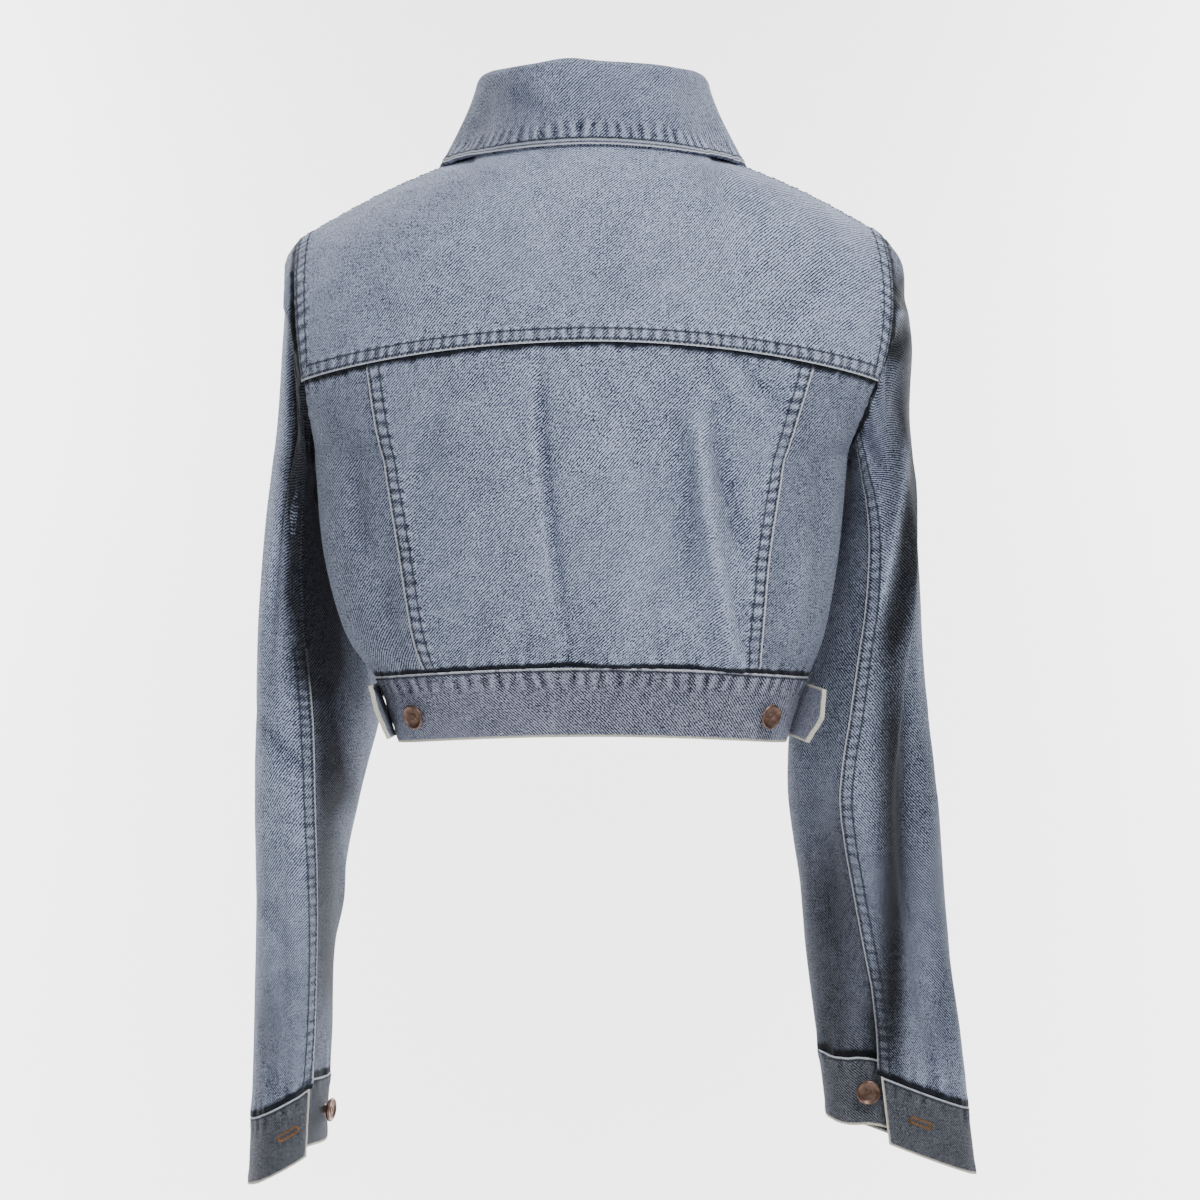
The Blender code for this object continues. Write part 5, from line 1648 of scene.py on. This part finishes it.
def stitch_tree():
    """Lays one rounded stitch after another along each line."""
    found = bpy.data.node_groups.get("stitch_rows")
    if found:
        return found
    sockets = {"Pitch": "Float", "Stitch Length": "Float", "Thickness": "Float"}
    sockets.update({"Thread": "Material", "Seed": "Int"})
    tree, given, add = node_group("stitch_rows", sockets)
    line = add("GeometryNodeMeshToCurve", {"Mesh": given["Geometry"]})
    points = add("GeometryNodeCurveToPoints", {"Curve": line, "Length": given["Pitch"]}, mode="LENGTH")
    least, most = (-STITCH_UNEVEN,) * 3, (STITCH_UNEVEN,) * 3
    limits = {"Min": least, "Max": most, "Seed": given["Seed"]}
    uneven = add("FunctionNodeRandomValue", limits, data_type="FLOAT_VECTOR")
    aim = add("ShaderNodeVectorMath", {0: points.outputs["Tangent"], 1: uneven}, operation="ADD")
    turn = add("FunctionNodeAlignRotationToVector", {"Vector": aim}, axis="X")
    half_length, half_thick = (
        add("ShaderNodeMath", {0: given[label], 1: 0.5}, operation="MULTIPLY")
        for label in ("Stitch Length", "Thickness")
    )
    size = add("ShaderNodeCombineXYZ", {0: half_length, 1: half_thick, 2: half_thick})
    ball = add("GeometryNodeMeshIcoSphere", {"Radius": 1.0, "Subdivisions": 1})
    soft = add("GeometryNodeSetShadeSmooth", {"Geometry": ball})
    laid = {"Points": points, "Instance": soft, "Rotation": turn, "Scale": size}
    return end_tree(tree, given, add, add("GeometryNodeInstanceOnPoints", laid))


def cord_tree():
    """Gives each line the thickness of a thread."""
    found = bpy.data.node_groups.get("thread_lines")
    if found:
        return found
    tree, given, add = node_group("thread_lines", {"Thickness": "Float", "Thread": "Material"})
    line = add("GeometryNodeMeshToCurve", {"Mesh": given["Geometry"]})
    half = add("ShaderNodeMath", {0: given["Thickness"], 1: 0.5}, operation="MULTIPLY")
    ring = add("GeometryNodeCurvePrimitiveCircle", {"Resolution": 5, "Radius": half})
    tube = add("GeometryNodeCurveToMesh", {"Curve": line, "Profile Curve": ring, "Fill Caps": True})
    return end_tree(tree, given, add, add("GeometryNodeSetShadeSmooth", {"Geometry": tube}))


def grown(name, lines, tree, values):
    """The plain mesh that a Geometry Nodes tree makes from these lines."""
    points, edges = [], []
    for line in lines:
        start = len(points)
        points.extend(np.asarray(line).tolist())
        edges.extend((start + k, start + k + 1) for k in range(len(line) - 1))
    seedling = bpy.data.meshes.new(name + "_lines")
    seedling.from_pydata(points, edges, [])
    base = placed(name + "_lines", seedling)
    modifier = base.modifiers.new("grow", "NODES")
    modifier.node_group = tree
    for item in tree.interface.items_tree:
        if item.name in values and item.in_out == "INPUT":
            modifier[item.identifier] = values[item.name]
    graph = bpy.context.evaluated_depsgraph_get()
    graph.update()
    mesh = bpy.data.meshes.new_from_object(base.evaluated_get(graph))
    mesh.name = name
    base.modifiers.remove(modifier)
    bpy.data.objects.remove(base, do_unlink=True)
    if len(mesh.polygons) == 0:
        raise RuntimeError(f"{name} grew nothing")
    return placed(name, mesh)


# The pieces whose seams each run of stitching holds.
STITCHED = {
    "stitches_back": "back_centre back_side_left back_side_right back_yoke",
    "stitches_front": "front_left front_right front_band_over",
    "stitches_waist": "waistband waist_tab_left waist_tab_right",
    "stitches_collar": "collar",
    "stitches_sleeve_left": "sleeve_upper_left cuff_left",
    "stitches_sleeve_right": "sleeve_upper_right cuff_right",
}
STITCH_UNEVEN = 0.06  # how far a stitch may turn off its row
STITCH_LIFT = 0.2  # share of the thread's thickness that it stands off the cloth


def make_stitching():
    sewing = bpy.context.scene.denim_sewing
    for seed, (name, members) in enumerate(STITCHED.items()):
        lines = []
        for piece in (node + "_cloth" for node in members.split()):
            for side, kind in EDGES[piece].items():
                rows = [sewn(kind)[row] for row in ("row_1", "row_2") if sewn(kind)[row]]
                lines += [row_inside(piece, side, row, sewing.thickness * STITCH_LIFT)[2:-2] for row in rows]
        values = {
            "Pitch": sewing.pitch,
            "Stitch Length": sewing.length,
            "Thickness": sewing.thickness,
            "Thread": finished("thread_blue"),
            "Seed": seed,
        }
        dress(grown(name, lines, stitch_tree(), values))


ZIGZAGS = 92
SLIT_SHARE = 0.42  # the slit's share of a buttonhole's width


def buttonhole(centre, along, normal, length=0.017, width=0.0052):
    """A zigzag of thread round a slit."""
    along = unit(along - normal * np.dot(along, normal))
    beside = np.cross(normal, along)
    half, radius = length / 2 - width / 2, width / 2
    line = []
    for index in range(ZIGZAGS + 1):
        t = index / ZIGZAGS * 4
        reach = radius * (1.0 if index % 2 else SLIT_SHARE)
        if t < 1:
            point = along * (half - 2 * half * t) + beside * reach
        elif t < 2:
            angle = math.pi * (t - 1)
            point = -along * half + (beside * math.cos(angle) - along * math.sin(angle)) * reach
        elif t < 3:
            point = along * (-half + 2 * half * (t - 2)) - beside * reach
        else:
            angle = math.pi * (t - 3)
            point = along * half + (-beside * math.cos(angle) + along * math.sin(angle)) * reach
        line.append(centre + point + normal * SEAM_GAP)
    return line


def place_on(piece, row_share, column_share):
    """A point, the direction along the piece there, and the normal."""
    outside, out, _ = FINISHED[piece]
    shares = zip((row_share, column_share), outside.shape)
    row, column = (int(round(share * (size - 1))) for share, size in shares)
    nearby = min(max(column, 3), outside.shape[1] - 4)
    along = unit(outside[row, nearby + 3] - outside[row, nearby - 3])
    return outside[row, column], along, out[row, column]


# Buttonholes: piece, share of its height and of its length.
BUTTONHOLES = (("cuff", 0.5, 0.075), ("waist_tab", 0.5, 0.74))
FRONT_HOLE_LENGTH = 0.021
GOLD_THICKNESS = 0.00055  # of the buttonholes' thread
FRONT_HOLE_SHIFT = np.array([0.003, 0, 0])  # from the middle of its button


def make_buttonholes():
    lines = []
    for piece, row, column in BUTTONHOLES:
        lines += [buttonhole(*place_on(f"{piece}_{name}_cloth", row, column)) for _, name in SIDES]
    for seat, normal in front_seats():
        along = np.array([1.0, 0, 0])
        lines.append(buttonhole(seat + FRONT_HOLE_SHIFT, along, normal, FRONT_HOLE_LENGTH))
    values = {"Thickness": GOLD_THICKNESS, "Thread": finished("thread_gold")}
    dress(grown("buttonholes", lines, cord_tree(), values), slot="denim_trim")


# ---------------------------------------------------------------- buttons


def front_seats():
    """Where the front buttons stand: seat and normal."""
    seats = []
    step = 0.01
    for height in steps(FRONT_BUTTON_TOP, FRONT_BUTTON_LOW, FRONT_BUTTONS - 1):
        level = front_level(height)
        beside = front_plain(step, level) - front_plain(-step, level)
        up = front_plain(0.0, level + step) - front_plain(0.0, level - step)
        normal = unit(np.cross(beside, up))
        normal = normal if normal[1] < 0 else -normal
        seats.append((front_plain(0.0, level) + normal * (SEAM_GAP + BODY_WALL), normal))
    seat, normal = waistband_point(True, 0.0, 0.5)
    return seats + [(seat + normal * (SEAM_GAP + BAND_WALL), normal)]


def button_seats():
    """Seat and normal of every button, by its node."""
    seats = {}
    share = waistband_share(WAIST_BUTTON_X)
    for side, name in SIDES:
        seats["waist_button_" + name] = waistband_point(False, side * share, 0.6)
        grids = sleeve_rings(side)
        step = BACK_SEAM - RING + CUFF_BUTTON_STEPS[side]
        places = (step, step - 0.4, step + 0.4)
        seat, before, after = (cuff_point(side, grids, place, 0.5, 0.0) for place in places)
        normal = unit(np.cross(after - before, cuff_axis(grids[0])))
        if np.dot(normal, ring_at(grids[2][-1], step)) < 0:
            normal = -normal
        seats["cuff_button_" + name] = (seat + normal * CUFF_BUTTON_CLEAR, normal)
    names = [f"front_button_{index}" for index in range(1, FRONT_BUTTONS + 1)] + ["waistband_button"]
    seats.update(zip(names, front_seats()))
    return seats


def turned(name, profile, seat, normal, finish, sides=40):
    """A lathe-turned piece standing on seat, its profile given as radius and height from top to foot."""
    turn = Vector(normal.tolist()).to_track_quat("Z", "Y").to_matrix().to_4x4()
    place = Matrix.Translation(Vector((seat + normal * SEAM_GAP).tolist())) @ turn
    points, faces = [Vector((0, 0, profile[0][1]))], []
    for radius, height in profile[1:-1]:
        for side in range(sides):
            angle = 2 * math.pi * side / sides
            points.append(Vector((radius * math.cos(angle), radius * math.sin(angle), height)))
    points.append(Vector((0, 0, profile[-1][1])))
    last = len(points) - 1
    rings = len(profile) - 2
    for side in range(sides):
        after = (side + 1) % sides
        faces.append((0, 1 + side, 1 + after))
        for ring in range(rings - 1):
            a, b = 1 + ring * sides, 1 + (ring + 1) * sides
            faces.append((a + side, b + side, b + after, a + after))
        faces.append((last, 1 + (rings - 1) * sides + after, 1 + (rings - 1) * sides + side))
    mesh = bpy.data.meshes.new(name)
    mesh.from_pydata([place @ point for point in points], [], faces)
    mesh.shade_smooth()
    mesh.set_sharp_from_angle(angle=math.radians(40))
    mesh.materials.append(finished(finish))
    return placed(name, mesh)


def button_face():
    """Dished face with a raised rim and a small ring round its middle."""
    top = SHANK_HEIGHT + BUTTON_HEAD
    r = BUTTON_RADIUS
    return [
        (0, top - 0.0009),
        (r * 0.16, top - 0.0009),
        (r * 0.20, top - 0.0005),
        (r * 0.26, top - 0.0005),
        (r * 0.31, top - 0.0011),
        (r * 0.60, top - 0.0012),
        (r * 0.76, top - 0.0009),
        (r * 0.82, top - 0.0003),
        (r * 0.88, top),
        (r * 0.95, top - 0.0003),
        (r, top - 0.0010),
        (r * 0.97, top - 0.0017),
        (r * 0.84, SHANK_HEIGHT),
        (SHANK_RADIUS * 1.25, SHANK_HEIGHT),
        (SHANK_RADIUS, SHANK_HEIGHT - 0.0004),
        (SHANK_RADIUS * 0.92, 0.0008),
        (SHANK_RADIUS * 1.2, 0.0),
        (0, 0),
    ]


def make_buttons():
    for node, (seat, normal) in button_seats().items():
        made = turned(node + "_turned", button_face(), seat, normal, "copper")
        dress(made, node, slot="copper_button")


# ---------------------------------------------------------------- stage


def area_light(name, place, target, size, power):
    lamp = bpy.data.lights.new(name, "AREA")
    lamp.size = size
    lamp.energy = power
    made = placed(name, lamp)
    made.location = place
    made.rotation_euler = (Vector(target) - Vector(place)).to_track_quat("-Z", "Y").to_euler()


FLOOR_HALF_WIDTH = 6.0
FLOOR_REACH = 6.0  # how far the floor runs behind the camera
BACKDROP_BEND = -3.2  # where the floor starts to turn up, and the radius of its turn
BACKDROP_RADIUS = 1.2
BACKDROP_TOP = 4.5
CAMERA_PLACE = (-0.0047, 2.0, -0.286)
# The lights: place, size and share of the main light's power. All face the jacket's middle.
LIGHTS = {
    "key": ((-0.9, 1.9, 1.9), 0.8, 1.0),
    "fill": ((0.9, 2.4, 0.3), 1.2, 0.20),
    "top": ((0.0, 0.2, 2.2), 1.0, 0.30),
    "front_key": ((1.3, -2.1, 1.3), 1.6, 0.27),
}


def make_stage():
    scene = bpy.context.scene
    stage = scene.denim_stage
    profile = [(FLOOR_REACH, 0.0), (BACKDROP_BEND, 0.0)]
    for step in range(1, 17):
        angle = math.radians(90 * step / 16)
        back = BACKDROP_BEND - BACKDROP_RADIUS * math.sin(angle)
        profile.append((back, BACKDROP_RADIUS - BACKDROP_RADIUS * math.cos(angle)))
    wall = BACKDROP_BEND - BACKDROP_RADIUS
    profile.append((wall, BACKDROP_TOP))
    points, faces = [], []
    for y, z in profile:
        points += [(x, y, z + stage.floor_height) for x in (-FLOOR_HALF_WIDTH, FLOOR_HALF_WIDTH)]
    for a in range(0, 2 * len(profile) - 2, 2):
        faces.append((a, a + 1, a + 3, a + 2))
    mesh = bpy.data.meshes.new("floor")
    mesh.from_pydata(points, [], faces)
    mesh.shade_smooth()
    mesh.materials.append(finished("floor"))
    if mesh.polygons[0].normal.z < 0:
        mesh.flip_normals()
    placed("floor", mesh)
    for name, (place, size, share_of_light) in LIGHTS.items():
        area_light(name, place, (0, 0, -0.30), size, stage.light * share_of_light)
    for side in (-1, 1):
        target = (side * 0.3, wall, -0.3)
        area_light("backdrop_light", (side * 3.0, -2.9, 0.8), target, 1.8, stage.light * 4.6)
    scene.world = scene.world or bpy.data.worlds.new("world")
    scene.world.use_nodes = True
    sky = scene.world.node_tree.nodes["Background"]
    sky.inputs["Color"].default_value = (1, 1, 1, 1)
    sky.inputs["Strength"].default_value = stage.sky
    lens = bpy.data.cameras.new("camera")
    lens.sensor_width = 36
    lens.lens = stage.lens
    scene.camera = placed("camera", lens)
    scene.camera.location = CAMERA_PLACE
    scene.camera.rotation_euler = (math.radians(90), 0, math.radians(180))


# ---------------------------------------------------------------- sizes a user may change


def tint(name, description, code):
    """A colour that a user may change."""
    return bpy.props.FloatVectorProperty(
        name=name, description=description, default=colour(code), size=4, min=0, max=1, subtype="COLOR"
    )


def length(name, description, default):
    """A length in metres that a user may change."""
    return bpy.props.FloatProperty(name=name, description=description, default=default, unit="LENGTH")


def share(name, description, default):
    """A share that a user may change."""
    return bpy.props.FloatProperty(name=name, description=description, default=default, subtype="FACTOR")


class JacketCloth(bpy.types.PropertyGroup):
    """Cloth of the jacket"""

    twill_pitch: length("Twill pitch", "Width of one diagonal rib of the twill", 0.0015)
    twill_contrast: share("Twill contrast", "How much paler a rib is than the groove beside it", 1.3)
    grid_size: length("Grid size", "Spacing of the points on the back's cloth", 0.0018)
    body_deep: tint("Body blue", "Dye of the body's cloth where it is not worn", "1e263d")
    body_pale: tint("Body pale", "Body's cloth where it is worn", "c3cfea")
    trim_deep: tint("Trim blue", "Dye of the waistband where it is not worn", "191d2e")
    trim_pale: tint("Trim pale", "Waistband where it is worn", "a6abc1")
    collar_deep: tint("Collar blue", "Dye of the collar where it is not worn", "1a2036")
    collar_pale: tint("Collar pale", "Collar where it is worn", "b2bdd7")
    cuff_deep: tint("Cuff blue", "Dye of the cuffs where they are not worn", "1b1e28")
    cuff_pale: tint("Cuff pale", "Cuffs where they are worn", "6c6f77")


class JacketSewing(bpy.types.PropertyGroup):
    """Sewing thread, stitches and buttons"""

    pitch: length("Stitch pitch", "Distance from one stitch to the next", 0.0034)
    length: length("Stitch length", "Length of the thread that shows in one stitch", 0.0028)
    thickness: length("Thread thickness", "Thickness of the sewing thread", 0.0007)
    thread_colour: tint("Thread", "Colour of the seams' thread", "20242f")
    gold_colour: tint("Gold thread", "Colour of the buttonholes' thread", "cc8a2a")
    button_colour: tint("Button", "Colour of the buttons' rubbed copper", "93776a")


class JacketStage(bpy.types.PropertyGroup):
    """Floor, light and camera"""

    floor_height: length("Floor height", "Height of the floor below the neck", -1.42)
    light: bpy.props.FloatProperty(
        name="Light", description="Power of the main soft light", default=80.0, subtype="POWER"
    )
    sky: share("Sky", "Brightness of the surrounding white", 0.22)
    lens: bpy.props.FloatProperty(
        name="Lens", description="Focal length of the camera in millimetres", default=90.2
    )
    floor_colour: tint("Floor", "Colour of the floor and backdrop", "f5f5f5")


# ---------------------------------------------------------------- operators


class JACKET_OT_back(bpy.types.Operator):
    """Sew the centre back, side backs and yoke"""

    bl_idname = "jacket.back"
    bl_label = "Back"

    def execute(self, context):
        make_back()
        return {"FINISHED"}


class JACKET_OT_fronts(bpy.types.Operator):
    """Sew the fronts and their bands"""

    bl_idname = "jacket.fronts"
    bl_label = "Fronts"

    def execute(self, context):
        make_fronts()
        return {"FINISHED"}


class JACKET_OT_waistband(bpy.types.Operator):
    """Sew the waistband and its two tabs"""

    bl_idname = "jacket.waistband"
    bl_label = "Waistband"

    def execute(self, context):
        make_waistband()
        return {"FINISHED"}


class JACKET_OT_collar(bpy.types.Operator):
    """Sew the folded collar"""

    bl_idname = "jacket.collar"
    bl_label = "Collar"

    def execute(self, context):
        make_collar()
        return {"FINISHED"}


class JACKET_OT_sleeves(bpy.types.Operator):
    """Sew the sleeves and their cuffs"""

    bl_idname = "jacket.sleeves"
    bl_label = "Sleeves"

    def execute(self, context):
        for side, name in SIDES:
            make_sleeve(side, name)
        return {"FINISHED"}


class JACKET_OT_stitching(bpy.types.Operator):
    """Stitch the seams and hems"""

    bl_idname = "jacket.stitching"
    bl_label = "Stitching"

    def execute(self, context):
        make_stitching()
        return {"FINISHED"}


class JACKET_OT_buttons(bpy.types.Operator):
    """Turn the shank buttons and work the buttonholes"""

    bl_idname = "jacket.buttons"
    bl_label = "Buttons"

    def execute(self, context):
        make_buttons()
        make_buttonholes()
        return {"FINISHED"}


class JACKET_OT_stage(bpy.types.Operator):
    """Set up the floor, the lights and the camera"""

    bl_idname = "jacket.stage"
    bl_label = "Stage"

    def execute(self, context):
        make_stage()
        return {"FINISHED"}


OPERATORS = (
    JACKET_OT_stage,
    JACKET_OT_back,
    JACKET_OT_fronts,
    JACKET_OT_waistband,
    JACKET_OT_collar,
    JACKET_OT_sleeves,
    JACKET_OT_stitching,
    JACKET_OT_buttons,
)


class JACKET_PT_panel(bpy.types.Panel):
    """Lists the steps of the jacket"""

    bl_label = "Denim Jacket"
    bl_idname = "JACKET_PT_panel"
    bl_space_type = "VIEW_3D"
    bl_region_type = "UI"
    bl_category = "Jacket"

    def draw(self, context):
        for group in (context.scene.denim_cloth, context.scene.denim_sewing, context.scene.denim_stage):
            for key in group.__annotations__:
                self.layout.prop(group, key)
        for operator in OPERATORS:
            self.layout.operator(operator.bl_idname)


GROUPS = {"denim_cloth": JacketCloth, "denim_sewing": JacketSewing, "denim_stage": JacketStage}


def register():
    for group in GROUPS.values():
        bpy.utils.register_class(group)
    for key, group in GROUPS.items():
        setattr(bpy.types.Scene, key, bpy.props.PointerProperty(type=group))
    for operator in OPERATORS:
        bpy.utils.register_class(operator)
    bpy.utils.register_class(JACKET_PT_panel)


def unregister():
    bpy.utils.unregister_class(JACKET_PT_panel)
    for operator in reversed(OPERATORS):
        bpy.utils.unregister_class(operator)
    for key in GROUPS:
        delattr(bpy.types.Scene, key)
    for group in reversed(GROUPS.values()):
        bpy.utils.unregister_class(group)


def main():
    register()
    for operator in OPERATORS:
        group, name = operator.bl_idname.split(".")
        if getattr(getattr(bpy.ops, group), name)() != {"FINISHED"}:
            raise RuntimeError(f"{operator.bl_label} did not finish")
    declare_cloth()


if __name__ == "__main__":
    main()
